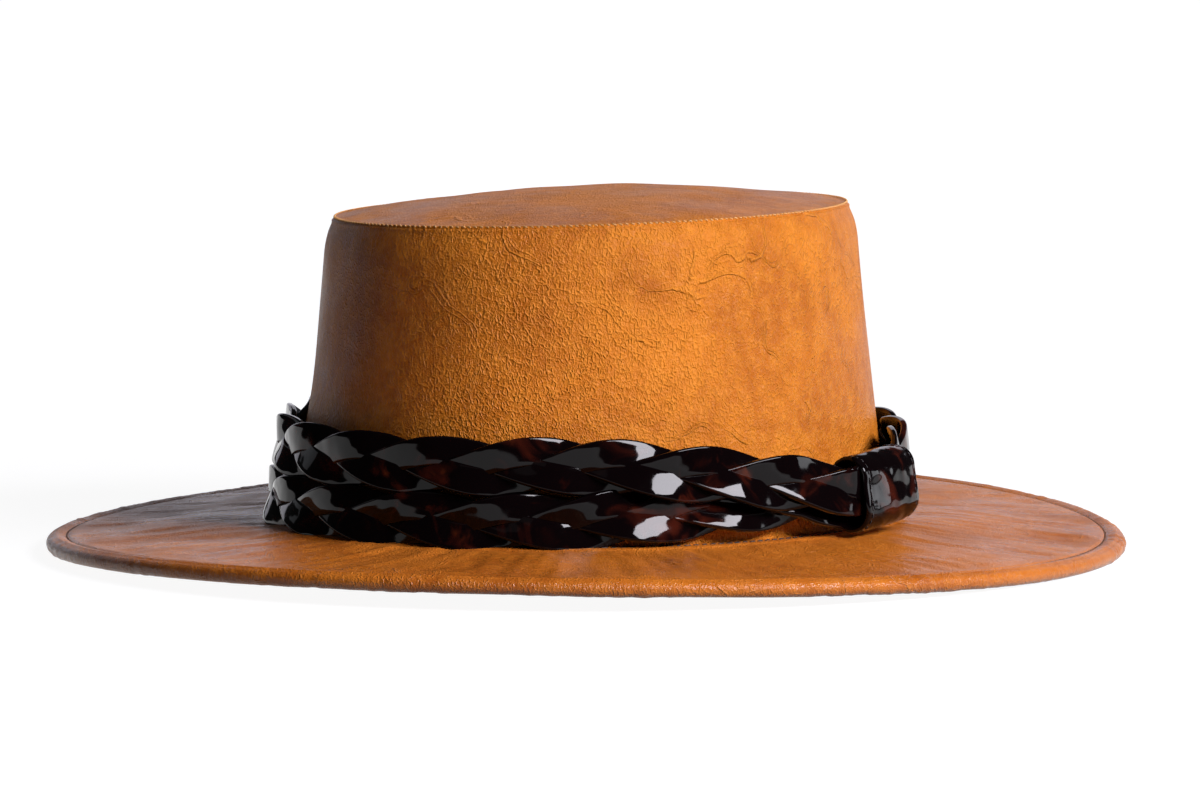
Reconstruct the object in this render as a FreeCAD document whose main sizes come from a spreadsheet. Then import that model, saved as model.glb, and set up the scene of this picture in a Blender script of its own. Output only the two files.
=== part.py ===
import FreeCAD, Part
import Sketcher
import math
import os
import re

from FreeCAD import Placement, Rotation, Vector

# A stiff wide-brimmed hat with a low flat crown and a plaited band in two rows.
# Frame: +Z up, -Y the front, +X the wearer's left. The origin is the centre of the
# plane that the brim's edge rests on. All lengths are in millimetres.

doc = FreeCAD.newDocument("flat_crown_hat")

sizes = {
    # the oval where the crown meets the brim, outside the leather
    "half_wide": 87.5,
    "oval_extra": 16.0,
    # crown
    "crown_height": 92.2,
    "shoulder_drop": 7.6,
    "wall_lean": 10.7,
    "wall_hollow": 0.65,
    "seam_lean": 14.1,
    "shoulder_bulge": 0.5,
    "tip_rise": 4.8,
    "dome_share": 0.1,
    # sheet goods
    "leather": 1.1,
    "buckram": 1.0,
    "lining": 0.4,
    "glue_line": 0.05,
    # brim
    "brim_width": 72.4,
    "brim_droop": 5.75,
    "brim_board": 1.0,
    "under_leather": 0.8,
    "edge_radius": 2.35,
    "edge_flat": 1.4,
    "wire_radius": 1.2,
    "turn_under": 7.5,
    "crown_flange": 5.5,
    "tape_width": 9.0,
    "tape": 0.3,
    # stitching
    "thread_wide": 0.6,
    "thread_high": 0.3,
    "edge_stitch_in": 6.2,
    "seam_stitch_out": 2.4,
    "tip_stitch_in": 0.7,
    # sweatband
    "sweatband": 1.2,
    "sweatband_height": 32.0,
    "reed_radius": 0.8,
    "sweat_stitch_up": 2.5,
    # plaited band
    "strap_wide": 6.0,
    "strap_thick": 1.8,
    "plait_swing": 5.3,
    "plait_pitch": 83.0,
    "row_lift": 0.85,
    "row_gap": 0.3,
    "band_clear": 0.45,
    "splice_long": 4.0,
    "end_gap": 0.25,
    # keeper sleeve
    "keeper_long": 30.0,
    "keeper_wall": 1.3,
    "keeper_clear": 0.35,
    "keeper_corner": 5.0,
    "keeper_stand": 4.0,
    "keeper_raise": 2.4,
    "keeper_drop": 10.6,
    "keeper_stitch_in": 2.0,
}

sheet = doc.addObject("Spreadsheet::Sheet", "Sizes")
for row, (alias, number) in enumerate(sizes.items(), start=1):
    sheet.set(f"A{row}", alias)
    sheet.set(f"B{row}", str(number))
    sheet.setAlias(f"B{row}", alias)
doc.recompute()


def linked(text):
    """The expression with each alias written as the sheet's property."""
    return re.sub(r"[a-z_]+", lambda word: f"Sizes.{word[0]}" if word[0] in sizes else word[0], text)


def value(text):
    """The number that an expression of aliases stands for."""
    return float(sheet.evalExpression(text))


# Levels and offsets shared by the pieces. An offset is measured outward from the oval.
half_long = "(half_wide + oval_extra)"
edge_reach = "(brim_width - edge_radius)"
edge_level = "sqrt(edge_radius ^ 2 - edge_flat ^ 2)"
base_level = f"({edge_level} + edge_radius / cos(brim_droop) + {edge_reach} * tan(brim_droop))"
seam_level = f"({base_level} + crown_height)"
brim_stack = "(leather + brim_board + under_leather + 2 * glue_line)"


def brim_level(offset, depth="0"):
    """Height of the brim's top face at an offset, less a depth into the brim."""
    return f"({base_level} - ({offset}) * tan(brim_droop) - ({depth}))"


def plane_of(body, role):
    return [(feature, "") for feature in body.Origin.OriginFeatures if feature.Role == role]


def bind(sketch, kind, *reference, text):
    """Adds a dimension to a sketch and ties it to an expression of the sheet."""
    index = sketch.addConstraint(Sketcher.Constraint(kind, *reference, value(text)))
    sketch.setExpression(f"Constraints[{index}]", linked(text))


def new_sketch(body, name, role):
    sketch = body.newObject("Sketcher::SketchObject", name)
    sketch.AttachmentSupport = plane_of(body, role)
    sketch.MapMode = "FlatFace"
    return sketch


def add_oval_path(body):
    """The head oval, long axis along Y, as the path of a ring."""
    path = new_sketch(body, f"{body.Name}_path", "XY_Plane")
    long_end = Vector(0, value(half_long), 0)
    wide_end = Vector(value("half_wide"), 0, 0)
    path.addGeometry(Part.Ellipse(long_end, wide_end, Vector(0, 0, 0)), False)
    path.exposeInternalGeometry(0)
    path.addConstraint(Sketcher.Constraint("Coincident", 0, 3, -1, 1))
    path.addConstraint(Sketcher.Constraint("Vertical", 1))
    bind(path, "Distance", 1, text=f"2 * {half_long}")
    bind(path, "Distance", 2, text="2 * half_wide")
    return path


def end_near(sketch, edge, point):
    """Which end of a sketch edge, 1 or 2, lies at a point."""
    return min((1, 2), key=lambda end: sketch.getPoint(edge, end).distanceToPoint(point))


def add_outline(sketch, outline):
    """Draws a closed outline of (x, y) expressions; (x, y, "via") bends the edge it lies on."""
    corners = [entry for entry in outline if len(entry) == 2]
    spots = [Vector(value(entry[0]), value(entry[1]), 0) for entry in corners]
    edges = []
    step = -1
    vias = {}
    for entry in outline:
        if len(entry) == 2:
            step += 1
        else:
            vias[step] = entry
    for number, start in enumerate(spots):
        finish = spots[(number + 1) % len(spots)]
        if number not in vias:
            edges.append(sketch.addGeometry(Part.LineSegment(start, finish), False))
            continue
        across, up, _ = vias[number]
        middle = Vector(value(across), value(up), 0)
        edges.append(sketch.addGeometry(Part.Arc(start, middle, finish), False))
        mark = sketch.addGeometry(Part.Point(middle), True)
        sketch.addConstraint(Sketcher.Constraint("PointOnObject", mark, 1, edges[-1]))
        bind(sketch, "DistanceX", -1, 1, mark, 1, text=across)
        bind(sketch, "DistanceY", -1, 1, mark, 1, text=up)
    for number, spot in enumerate(spots):
        before = edges[number - 1]
        after = edges[number]
        end_before = end_near(sketch, before, spot)
        end_after = end_near(sketch, after, spot)
        sketch.addConstraint(Sketcher.Constraint("Coincident", before, end_before, after, end_after))
        bind(sketch, "DistanceX", -1, 1, after, end_after, text=corners[number][0])
        bind(sketch, "DistanceY", -1, 1, after, end_after, text=corners[number][1])


def swept_round(body, section):
    """Sweeps a section round the head oval."""
    sweep = body.newObject("PartDesign::AdditivePipe", f"{body.Name}_sweep")
    sweep.Profile = section
    sweep.Spine = (add_oval_path(body), [])
    body.Tip = sweep
    return body


def ring(name, outline):
    """A ring with a drawn section, given as (offset, level) expressions."""
    body = doc.addObject("PartDesign::Body", name)
    section = new_sketch(body, f"{name}_section", "XZ_Plane")
    add_outline(section, [(f"half_wide + ({entry[0]})", *entry[1:]) for entry in outline])
    return swept_round(body, section)


def pressed_flat(body):
    """Takes off what hangs below the plane that the brim rests on, leaving a flat there."""
    disc = new_sketch(body, f"{body.Name}_rest", "XY_Plane")
    reach = f"{half_long} + brim_width"
    disc.addGeometry(Part.Circle(Vector(0, 0, 0), Vector(0, 0, 1), value(reach)), False)
    disc.addConstraint(Sketcher.Constraint("Coincident", 0, 3, -1, 1))
    bind(disc, "Radius", 0, text=reach)
    pocket = body.newObject("PartDesign::Pocket", f"{body.Name}_flat")
    pocket.Profile = disc
    pocket.setExpression("Length", linked("edge_radius"))
    body.Tip = pocket
    return body


def round_ring(name, offset, level, radius):
    """A ring with a round section, such as a wire."""
    body = doc.addObject("PartDesign::Body", name)
    section = new_sketch(body, f"{name}_section", "XZ_Plane")
    across = f"half_wide + ({offset})"
    centre = Vector(value(across), value(level), 0)
    section.addGeometry(Part.Circle(centre, Vector(0, 0, 1), value(radius)), False)
    bind(section, "DistanceX", -1, 1, 0, 3, text=across)
    bind(section, "DistanceY", -1, 1, 0, 3, text=level)
    bind(section, "Radius", 0, text=radius)
    return swept_round(body, section)


# ---------------------------------------------------------------- crown

shoulder_level = f"({seam_level} - shoulder_drop)"
wall_top = f"({seam_level} - leather - glue_line)"


def wall_lean_at(height):
    """How far the wall has leaned in at a height over the brim, below the shoulder."""
    share = f"(({height}) / (crown_height - shoulder_drop))"
    return f"({share} * (wall_lean + 4 * wall_hollow * (1 - {share})))"


def wall_face(depth, top):
    """Corners of the crown wall's face, from the brim up, at a depth inside the leather."""
    middle = f"({base_level} + {shoulder_level}) / 2"
    shoulder_middle = f"({shoulder_level} + {top}) / 2 + shoulder_bulge"
    return [
        (f"-({depth})", base_level),
        (f"-({depth}) - wall_lean / 2 - wall_hollow", middle, "via"),
        (f"-({depth}) - wall_lean", shoulder_level),
        (f"-({depth}) - (wall_lean + seam_lean) / 2 + shoulder_bulge", shoulder_middle, "via"),
        (f"-({depth}) - seam_lean", top),
    ]


def make_crown_side():
    """The leather wall, turned out under the brim as a flange."""
    flange_top = f"{brim_stack} + glue_line"
    flange_under = f"{brim_stack} + glue_line + leather"
    outer = wall_face("0", wall_top)
    inner = wall_face("leather", wall_top)
    inner.reverse()
    flange = [
        ("-leather", brim_level("-leather", flange_under)),
        ("crown_flange", brim_level("crown_flange", flange_under)),
        ("crown_flange", brim_level("crown_flange", flange_top)),
        ("0", brim_level("0", flange_top)),
    ]
    return ring("crown_side", outer + inner + flange)


def make_wall_liner(name, depth, thickness, top):
    """A sheet lining the crown wall, from just above the brim to under the tip."""
    outer = wall_face(depth, top)
    inner = wall_face(f"{depth} + {thickness}", top)
    inner.reverse()
    return ring(name, outer + inner)


def make_tip(name, depth, thickness):
    """An oval sheet of the crown's top, domed, at a depth under the outer leather."""
    spread = "sqrt(dome_share * (2 - dome_share))"
    oval = doc.addObject("Part::Ellipse", f"{name}_oval")
    inset = f"(seam_lean + ({depth}) + glue_line)"
    oval.setExpression("MajorRadius", linked(f"{half_long} - {inset}"))
    oval.setExpression("MinorRadius", linked(f"half_wide - {inset}"))
    oval.Placement = Placement(Vector(0, 0, 0), Rotation(Vector(0, 0, 1), 90))
    oval.setExpression(
        "Placement.Base.z", linked(f"{seam_level} - ({depth}) - ({thickness})"))
    prism = doc.addObject("Part::Extrusion", f"{name}_prism")
    prism.Base = oval
    prism.DirMode = "Normal"
    prism.Solid = True
    prism.setExpression("LengthFwd", linked("2 * tip_rise + leather"))
    domes = []
    for label, drop in (("outside", depth), ("inside", f"{depth} + {thickness}")):
        dome = doc.addObject("Part::Ellipsoid", f"{name}_{label}")
        dome.setExpression("Radius1", linked("tip_rise / dome_share"))
        dome.setExpression("Radius2", linked(f"(half_wide - seam_lean) / {spread}"))
        dome.setExpression("Radius3", linked(f"({half_long} - seam_lean) / {spread}"))
        centre = f"{seam_level} - ({drop}) + tip_rise - tip_rise / dome_share"
        dome.setExpression("Placement.Base.z", linked(centre))
        domes.append(dome)
    cap = doc.addObject("Part::Common", f"{name}_cap")
    cap.Base = prism
    cap.Tool = domes[0]
    tip = doc.addObject("Part::Cut", name)
    tip.Base = cap
    tip.Tool = domes[1]
    return tip


def flat_thread(name, offset, level_at):
    """A line of stitching: a flat ring lying on a face whose height is level_at(offset)."""
    inside = f"{offset} - thread_wide / 2"
    outside = f"{offset} + thread_wide / 2"
    return ring(name, [
        (inside, level_at(inside)),
        (outside, level_at(outside)),
        (outside, f"{level_at(outside)} + thread_high"),
        (inside, f"{level_at(inside)} + thread_high"),
    ])


def make_tip_thread():
    """Stitches along the rim of the tip, on its rising edge."""
    rim_slope = "tip_rise * (2 - dome_share) / ((half_wide - seam_lean) * (1 - dome_share))"

    def tip_level(offset):
        return f"({seam_level} + glue_line + (-seam_lean - ({offset})) * {rim_slope})"

    return flat_thread("tip_seam_thread", "(-seam_lean - tip_stitch_in)", tip_level)


# ---------------------------------------------------------------- brim

board_end = f"({edge_reach} - wire_radius - 3 * glue_line)"
turn_depth = f"({brim_stack} + leather + 2 * glue_line)"


def brim_layer(name, depth, thickness):
    """A flat layer of the brim between the crown and the wire."""
    below = f"{depth} + {thickness}"
    return ring(name, [
        ("glue_line", brim_level("glue_line", depth)),
        (board_end, brim_level(board_end, depth)),
        (board_end, brim_level(board_end, below)),
        ("glue_line", brim_level("glue_line", below)),
    ])


def make_brim_top():
    """The top leather, carried round the wire and turned under."""
    hollow = "(edge_radius - leather)"
    lean_out = "sin(brim_droop)"
    lean_up = "cos(brim_droop)"
    turn_end = f"({edge_reach} - turn_under)"
    turn_start = f"({edge_reach} - edge_radius)"
    leather_top = ring("brim_top", [
        ("glue_line", brim_level("glue_line")),
        (f"{edge_reach} + edge_radius * {lean_out}", f"{edge_level} + edge_radius * {lean_up}"),
        (f"{edge_reach} + edge_radius", edge_level, "via"),
        (edge_reach, f"{edge_level} - edge_radius"),
        (turn_start, brim_level(turn_start, turn_depth)),
        (turn_end, brim_level(turn_end, turn_depth)),
        (turn_end, f"{brim_level(turn_end, turn_depth)} + leather"),
        (f"{edge_reach} - {hollow} * sin(45)", f"{edge_level} - {hollow} * cos(45)"),
        (f"{edge_reach} + {hollow}", edge_level, "via"),
        (f"{edge_reach} + {hollow} * {lean_out}", f"{edge_level} + {hollow} * {lean_up}"),
        ("glue_line", brim_level("glue_line", f"leather / {lean_up}")),
    ])
    return pressed_flat(leather_top)


def make_join_tape():
    """The tape over the seam under the brim."""
    above = f"{brim_stack} + leather + 2 * glue_line"
    below = f"{above} + tape"
    inside = "-leather"
    outside = "(tape_width - leather)"
    return ring("brim_join_tape", [
        (inside, brim_level(inside, above)),
        (outside, brim_level(outside, above)),
        (outside, brim_level(outside, below)),
        (inside, brim_level(inside, below)),
    ])


def make_turn_thread():
    """Stitches on the turned-under leather, below the edge."""
    def turn_level(offset):
        return brim_level(offset, f"{turn_depth} + glue_line + thread_high")

    return flat_thread("brim_turn_thread", "(brim_width - edge_stitch_in)", turn_level)


# ---------------------------------------------------------------- sweatband

liner_depth = "(leather + buckram + lining + 3 * glue_line)"
sweat_bottom = brim_level("0", brim_stack)


def make_sweatband():
    """The head band inside the crown, following the wall's lean."""
    top = f"({base_level} + sweatband_height)"
    middle = f"({base_level} + sweatband_height / 2)"
    face = f"-({liner_depth} + glue_line)"
    back = f"{face} - sweatband"
    lean_top = wall_lean_at("sweatband_height")
    lean_middle = wall_lean_at("sweatband_height / 2")
    return ring("sweatband", [
        (face, sweat_bottom),
        (face, base_level),
        (f"{face} - {lean_middle}", middle, "via"),
        (f"{face} - {lean_top}", top),
        (f"{back} - {lean_top}", top),
        (f"{back} - {lean_middle}", middle, "via"),
        (back, base_level),
        (back, sweat_bottom),
    ])


def make_sweat_thread():
    """Stitches round the foot of the sweatband, on the side that faces the head."""
    face = f"(-({liner_depth}) - sweatband - 2 * glue_line)"
    low = f"({sweat_bottom} + sweat_stitch_up - thread_wide / 2)"
    return ring("sweatband_thread", [
        (f"{face} - thread_high", low),
        (face, low),
        (face, f"{low} + thread_wide"),
        (f"{face} - thread_high", f"{low} + thread_wide"),
    ])


# ---------------------------------------------------------------- plaited band

strap_rows = {"lower": 0, "upper": 1}
strap_count = 3
steps_per_pitch = 16
# a flat three-strand plait: each strap weaves out and in twice while it crosses once,
# and rolls so that it lies flat over its neighbours; waves as shares of the strap's width
weave_waves = {2: 0.210, 4: 0.0283, 8: -0.0352}
roll_waves = {1: 0.118, 3: 0.399}
weave_half = 0.4645
merge_near = 15.0
merge_drop = 34.0
merge_out = 36.0
merge_lap = 4.0


# the sleeve bends with the oval at the wearer's left, about the oval's centre of curvature
bend_centre = f"(half_wide - {half_long} ^ 2 / half_wide)"
row_high = "(2 * plait_swing + strap_wide)"
row_deep = f"({2 * weave_half} * strap_wide)"
lean_angle = f"atan((wall_lean + 4 * wall_hollow) / ({shoulder_level} - {base_level}))"
lower_middle = f"(row_lift + {row_high} / 2 + keeper_raise)"
upper_middle = f"(row_lift + 1.5 * {row_high} + row_gap - keeper_drop)"
sleeve_middle = f"(({lower_middle} + {upper_middle}) / 2)"
wall_at_sleeve = f"({sleeve_middle} * tan({lean_angle}))"
sleeve_shell = "(keeper_wall + keeper_clear + thread_high + glue_line)"
sleeve_out = f"(band_clear + keeper_stand + {sleeve_shell} + {row_deep} + row_gap / 2)"
sleeve_half_high = f"({row_high} / 2 + ({upper_middle} - {lower_middle}) / 2 + keeper_clear)"
sleeve_half_deep = f"({row_deep} + row_gap / 2 + keeper_clear)"


def smooth(share):
    """Eases from 0 to 1."""
    share = min(max(share, 0.0), 1.0)
    return share * share * (3 - 2 * share)


def band_numbers():
    """Sizes of the plait that its straps, sleeve and tab share."""
    numbers = {alias: value(alias) for alias in sizes}
    numbers["half_long"] = value(half_long)
    numbers["base"] = value(base_level)
    numbers["rise"] = value(shoulder_level) - value(base_level)
    numbers["row_high"] = 2 * numbers["plait_swing"] + numbers["strap_wide"]
    numbers["row_deep"] = 2 * weave_half * numbers["strap_wide"]
    lean = (numbers["wall_lean"] + 4 * numbers["wall_hollow"]) / numbers["rise"]
    numbers["lean"] = math.atan(lean)
    numbers["lower_middle"] = value(lower_middle)
    numbers["upper_middle"] = value(upper_middle)
    numbers["sleeve_middle"] = value(sleeve_middle)
    numbers["sleeve_offset"] = value(f"{sleeve_out} - {wall_at_sleeve}")
    return numbers


def wall_offset(numbers, height):
    """Offset of the crown's outer face at a height over the brim."""
    share = height / numbers["rise"]
    return -numbers["wall_lean"] * share - 4 * numbers["wall_hollow"] * share * (1 - share)


def row_place(numbers, row, along):
    """Offset and height of a row's centre at a distance along the oval from the sleeve.

    The rows lie one over the other on the wall. Near the sleeve the upper row steps out
    past the lower one, and then both run into the sleeve side by side.
    """
    level = numbers["row_lift"] + numbers["row_high"] / 2
    level += strap_rows[row] * (numbers["row_high"] + numbers["row_gap"])
    offset = wall_offset(numbers, level) + numbers["band_clear"] + numbers["row_deep"] / 2
    out_across = math.cos(numbers["lean"])
    out_up = math.sin(numbers["lean"])
    beside = (numbers["row_deep"] + numbers["row_gap"]) / 2
    above = (numbers["upper_middle"] - numbers["lower_middle"]) / 2
    side = 1 if row == "upper" else -1
    end_offset = numbers["sleeve_offset"] + side * (beside * out_across - above * out_up)
    end_level = numbers["sleeve_middle"] + side * (beside * out_up + above * out_across)
    merge = smooth(1 - (abs(along) - merge_near) / merge_drop)
    if row == "upper":
        stepped = smooth(1 - (abs(along) - merge_near - merge_drop + merge_lap) / merge_out)
        step = 2 * beside * stepped
        offset += step * out_across
        level += step * out_up
        end_offset += 2 * beside * (stepped - 1) * out_across
    return offset + (end_offset - offset) * merge, level + (end_level - level) * merge


def oval_table(numbers):
    """Angles and lengths along the oval that the plait follows, from the +X side round."""
    out = numbers["band_clear"] + numbers["row_deep"] / 2
    wide = numbers["half_wide"] + out
    deep = numbers["half_long"] + out
    count = 3600
    angles = [2 * math.pi * index / count for index in range(count + 1)]
    lengths = [0.0]
    for index in range(count):
        middle = (angles[index] + angles[index + 1]) / 2
        speed = math.hypot(wide * math.sin(middle), deep * math.cos(middle))
        lengths.append(lengths[-1] + speed * 2 * math.pi / count)
    return angles, lengths


def angle_at(table, length):
    """The oval's angle at a length along it."""
    angles, lengths = table
    share = length / lengths[-1]
    index = int(share * (len(angles) - 1))
    while lengths[index] > length:
        index -= 1
    while lengths[index + 1] < length:
        index += 1
    part = (length - lengths[index]) / (lengths[index + 1] - lengths[index])
    return angles[index] + part * (angles[index + 1] - angles[index])


def strap_corners(numbers, row, number, table, length):
    """The four corners of a strap's section at a length along the oval."""
    angle = angle_at(table, length)
    total = table[1][-1]
    along = length if length < total / 2 else length - total
    wide = numbers["half_wide"]
    deep = numbers["half_long"]
    foot = Vector(wide * math.cos(angle), deep * math.sin(angle), 0)
    outward = Vector(deep * math.cos(angle), wide * math.sin(angle), 0).normalize()
    offset, level = row_place(numbers, row, along)
    turn = 2 * math.pi * (length / numbers["plait_pitch"] + number / strap_count)
    swing = numbers["plait_swing"] * math.sin(turn)
    weave = sum(size * math.sin(order * turn) for order, size in weave_waves.items())
    weave *= numbers["strap_wide"]
    roll = sum(size * math.cos(order * turn) for order, size in roll_waves.items())
    lean = numbers["lean"]
    centre = foot + outward * offset + Vector(0, 0, numbers["base"] + level)
    up = outward * -math.sin(lean) + Vector(0, 0, math.cos(lean))
    out = outward * math.cos(lean) + Vector(0, 0, math.sin(lean))
    middle = centre + up * swing + out * weave
    half_width = (up * math.cos(roll) + out * math.sin(roll)) * (numbers["strap_wide"] / 2)
    half_depth = (out * math.cos(roll) - up * math.sin(roll)) * (numbers["strap_thick"] / 2)
    return [
        middle + half_width + half_depth,
        middle - half_width + half_depth,
        middle - half_width - half_depth,
        middle + half_width - half_depth,
    ]


def make_strap(row, number):
    """One strap of a plait row, from the splice round the crown and back to it."""
    numbers = band_numbers()
    table = oval_table(numbers)
    start = numbers["splice_long"] / 2 + numbers["end_gap"]
    finish = table[1][-1] - start
    count = int(steps_per_pitch * (finish - start) / numbers["plait_pitch"]) + 1
    lengths = [start + (finish - start) * index / count for index in range(count + 1)]
    sections = [strap_corners(numbers, row, number, table, length) for length in lengths]
    edges = []
    for corner in range(4):
        curve = Part.BSplineCurve()
        curve.interpolate(Points=[section[corner] for section in sections], Parameters=lengths)
        edges.append(curve.toShape())
    faces = [Part.makeRuledSurface(edges[corner], edges[(corner + 1) % 4]) for corner in range(4)]
    for section in (sections[0], sections[-1]):
        faces.append(Part.Face(Part.makePolygon(section + section[:1])))
    shell = Part.makeShell(faces)
    shell.sewShape()
    solid = Part.Solid(shell.Shells[0])
    if solid.Volume < 0:
        solid.reverse()
    strap = doc.addObject("Part::Feature", f"{row}_strap_{number + 1}")
    strap.Shape = solid
    strap.Placement = Placement()
    return strap


# ---------------------------------------------------------------- keeper sleeve

def add_round_box(sketch, half_across, half_up, corner):
    """A rectangle about the sketch's origin, with rounded corners."""
    cut = f"({corner}) * (1 - cos(45))"
    outline = []
    for across, up in ((1, -1), (1, 1), (-1, 1), (-1, -1)):
        before = (f"{across} * ({half_across})", f"{up} * (({half_up}) - ({corner}))")
        after = (f"{across} * (({half_across}) - ({corner}))", f"{up} * ({half_up})")
        middle = (f"{across} * (({half_across}) - {cut})", f"{up} * (({half_up}) - {cut})", "via")
        pair = [before, middle, after]
        if across != up:
            pair.reverse()
        outline.extend(pair)
    add_outline(sketch, outline)


def sleeve_section(body, name, grow, corner):
    """A rounded box round both rows, leaning with the crown's wall."""
    sketch = new_sketch(body, name, "XZ_Plane")
    across = f"half_wide - {bend_centre} - {wall_at_sleeve} + {sleeve_out}"
    sketch.AttachmentOffset = Placement(Vector(0, 0, 0), Rotation(Vector(0, 0, 1), 1))
    sketch.setExpression("AttachmentOffset.Base.x", linked(across))
    sketch.setExpression("AttachmentOffset.Base.y", linked(f"{base_level} + {sleeve_middle}"))
    sketch.setExpression("AttachmentOffset.Rotation.Angle", linked(lean_angle))
    add_round_box(sketch, f"{sleeve_half_deep} + {grow}", f"{sleeve_half_high} + {grow}", corner)
    return sketch


def make_sleeve(name, inner, outer, length, shift):
    """A bent sleeve between two rounded boxes, grown from the band by inner and outer."""
    body = doc.addObject("PartDesign::Body", name)
    body.setExpression("Placement.Base.x", linked(bend_centre))
    radius = f"(half_wide - {bend_centre})"
    sweep_angle = linked(f"({length}) / {radius} * 180 / pi")
    axis = plane_of(body, "Z_Axis")[0][0]
    for feature_type, part, grow in (("Revolution", "outside", outer), ("Groove", "inside", inner)):
        corner = f"keeper_corner - ({outer}) + ({grow})"
        profile = sleeve_section(body, f"{name}_{part}_section", grow, corner)
        feature = body.newObject(f"PartDesign::{feature_type}", f"{name}_{part}")
        feature.Profile = profile
        feature.ReferenceAxis = (axis, [""])
        feature.Midplane = True
        feature.setExpression("Angle", sweep_angle)
        doc.recompute()
    body.Placement.Rotation = Rotation(Vector(0, 0, 1), 1)
    body.setExpression("Placement.Rotation.Angle", linked(f"({shift}) / {radius} * 180 / pi"))
    return body


def make_splice():
    """The tab inside the sleeve that the straps' ends meet."""
    body = doc.addObject("PartDesign::Body", "band_splice")
    body.setExpression("Placement.Base.x", linked(bend_centre))
    corner = "keeper_corner - keeper_wall - end_gap"
    profile = sleeve_section(body, "band_splice_section", "-end_gap", corner)
    feature = body.newObject("PartDesign::Revolution", "band_splice_bend")
    feature.Profile = profile
    feature.ReferenceAxis = (plane_of(body, "Z_Axis")[0][0], [""])
    feature.Midplane = True
    feature.setExpression(
        "Angle", linked(f"splice_long / (half_wide - {bend_centre}) * 180 / pi"))
    return body


# ---------------------------------------------------------------- assembly

buckram_depth = "(leather + glue_line)"
lining_depth = "(leather + buckram + 2 * glue_line)"
tip_stack = "(leather + buckram + lining + 3 * glue_line)"

subparts = [
    make_crown_side(),
    make_tip("crown_tip", "0", "leather"),
    make_wall_liner("crown_side_buckram", buckram_depth, "buckram",
                    f"({seam_level} - leather - buckram - 2 * glue_line)"),
    make_tip("crown_tip_buckram", buckram_depth, "buckram"),
    make_wall_liner("crown_side_lining", lining_depth, "lining", f"({seam_level} - {tip_stack})"),
    make_tip("crown_tip_lining", lining_depth, "lining"),
    make_tip_thread(),
    make_brim_top(),
    brim_layer("brim_board", "(leather + glue_line) / cos(brim_droop)", "brim_board"),
    brim_layer("brim_underside", "(leather + brim_board + 2 * glue_line) / cos(brim_droop)", "under_leather"),
    round_ring("brim_wire", edge_reach, edge_level, "wire_radius"),
    flat_thread("brim_edge_thread", "(brim_width - edge_stitch_in)", brim_level),
    make_turn_thread(),
    flat_thread("brim_seam_thread", "seam_stitch_out", brim_level),
    make_join_tape(),
    make_sweatband(),
    round_ring("sweatband_reed", f"-({liner_depth}) - sweatband / 2",
               f"{sweat_bottom} - reed_radius - glue_line", "reed_radius"),
    make_sweat_thread(),
]
for row_name in strap_rows:
    for strap_number in range(strap_count):
        subparts.append(make_strap(row_name, strap_number))
subparts.append(make_sleeve("keeper_sleeve", "0", "keeper_wall", "keeper_long", "0"))
stitch_place = "(keeper_long / 2 - keeper_stitch_in)"
thread_outer = "keeper_wall + glue_line + thread_high"
for side, sign in (("front", "-"), ("back", "")):
    subparts.append(make_sleeve(f"keeper_thread_{side}", "keeper_wall + glue_line", thread_outer,
                                "thread_wide", f"{sign}{stitch_place}"))
subparts.append(make_splice())

doc.recompute()

faults = [item.Name for item in doc.Objects if {"Invalid", "Error"} & set(item.State)]
if faults:
    raise RuntimeError(f"objects failed: {faults}")
for piece in subparts:
    shape = piece.Shape
    if shape.isNull() or not shape.isValid() or shape.Volume <= 0:
        raise RuntimeError(f"bad shape: {piece.Label}")

os.makedirs("parts", exist_ok=True)
for piece in subparts:
    piece.Shape.exportStep(os.path.join("parts", f"{piece.Label}.step"))
    box = piece.Shape.BoundBox
    print(f"{piece.Label:22s} solids {len(piece.Shape.Solids)} volume {piece.Shape.Volume:10.1f} "
          f"z {box.ZMin:7.2f} to {box.ZMax:7.2f} x {box.XMax:7.2f} y {box.YMax:7.2f}")
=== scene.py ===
import math
import bmesh
import bpy
import numpy as np
from mathutils import Matrix, Vector


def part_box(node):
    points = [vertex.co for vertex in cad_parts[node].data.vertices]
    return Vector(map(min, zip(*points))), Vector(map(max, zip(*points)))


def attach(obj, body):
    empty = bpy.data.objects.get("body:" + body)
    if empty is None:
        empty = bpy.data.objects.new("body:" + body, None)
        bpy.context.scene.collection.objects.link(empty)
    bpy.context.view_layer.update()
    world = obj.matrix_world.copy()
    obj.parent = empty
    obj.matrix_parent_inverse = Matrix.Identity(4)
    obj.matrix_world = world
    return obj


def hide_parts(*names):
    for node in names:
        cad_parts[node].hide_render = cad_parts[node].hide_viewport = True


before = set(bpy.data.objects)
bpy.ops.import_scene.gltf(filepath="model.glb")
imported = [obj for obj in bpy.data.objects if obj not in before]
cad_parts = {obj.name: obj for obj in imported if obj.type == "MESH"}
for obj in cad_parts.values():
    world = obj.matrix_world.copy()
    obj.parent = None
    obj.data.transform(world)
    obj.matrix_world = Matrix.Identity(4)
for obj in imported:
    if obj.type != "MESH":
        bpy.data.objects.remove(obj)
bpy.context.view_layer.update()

# All shapes below are worked out in millimetres; addPiece turns them into metres.
mm = 0.001

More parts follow.
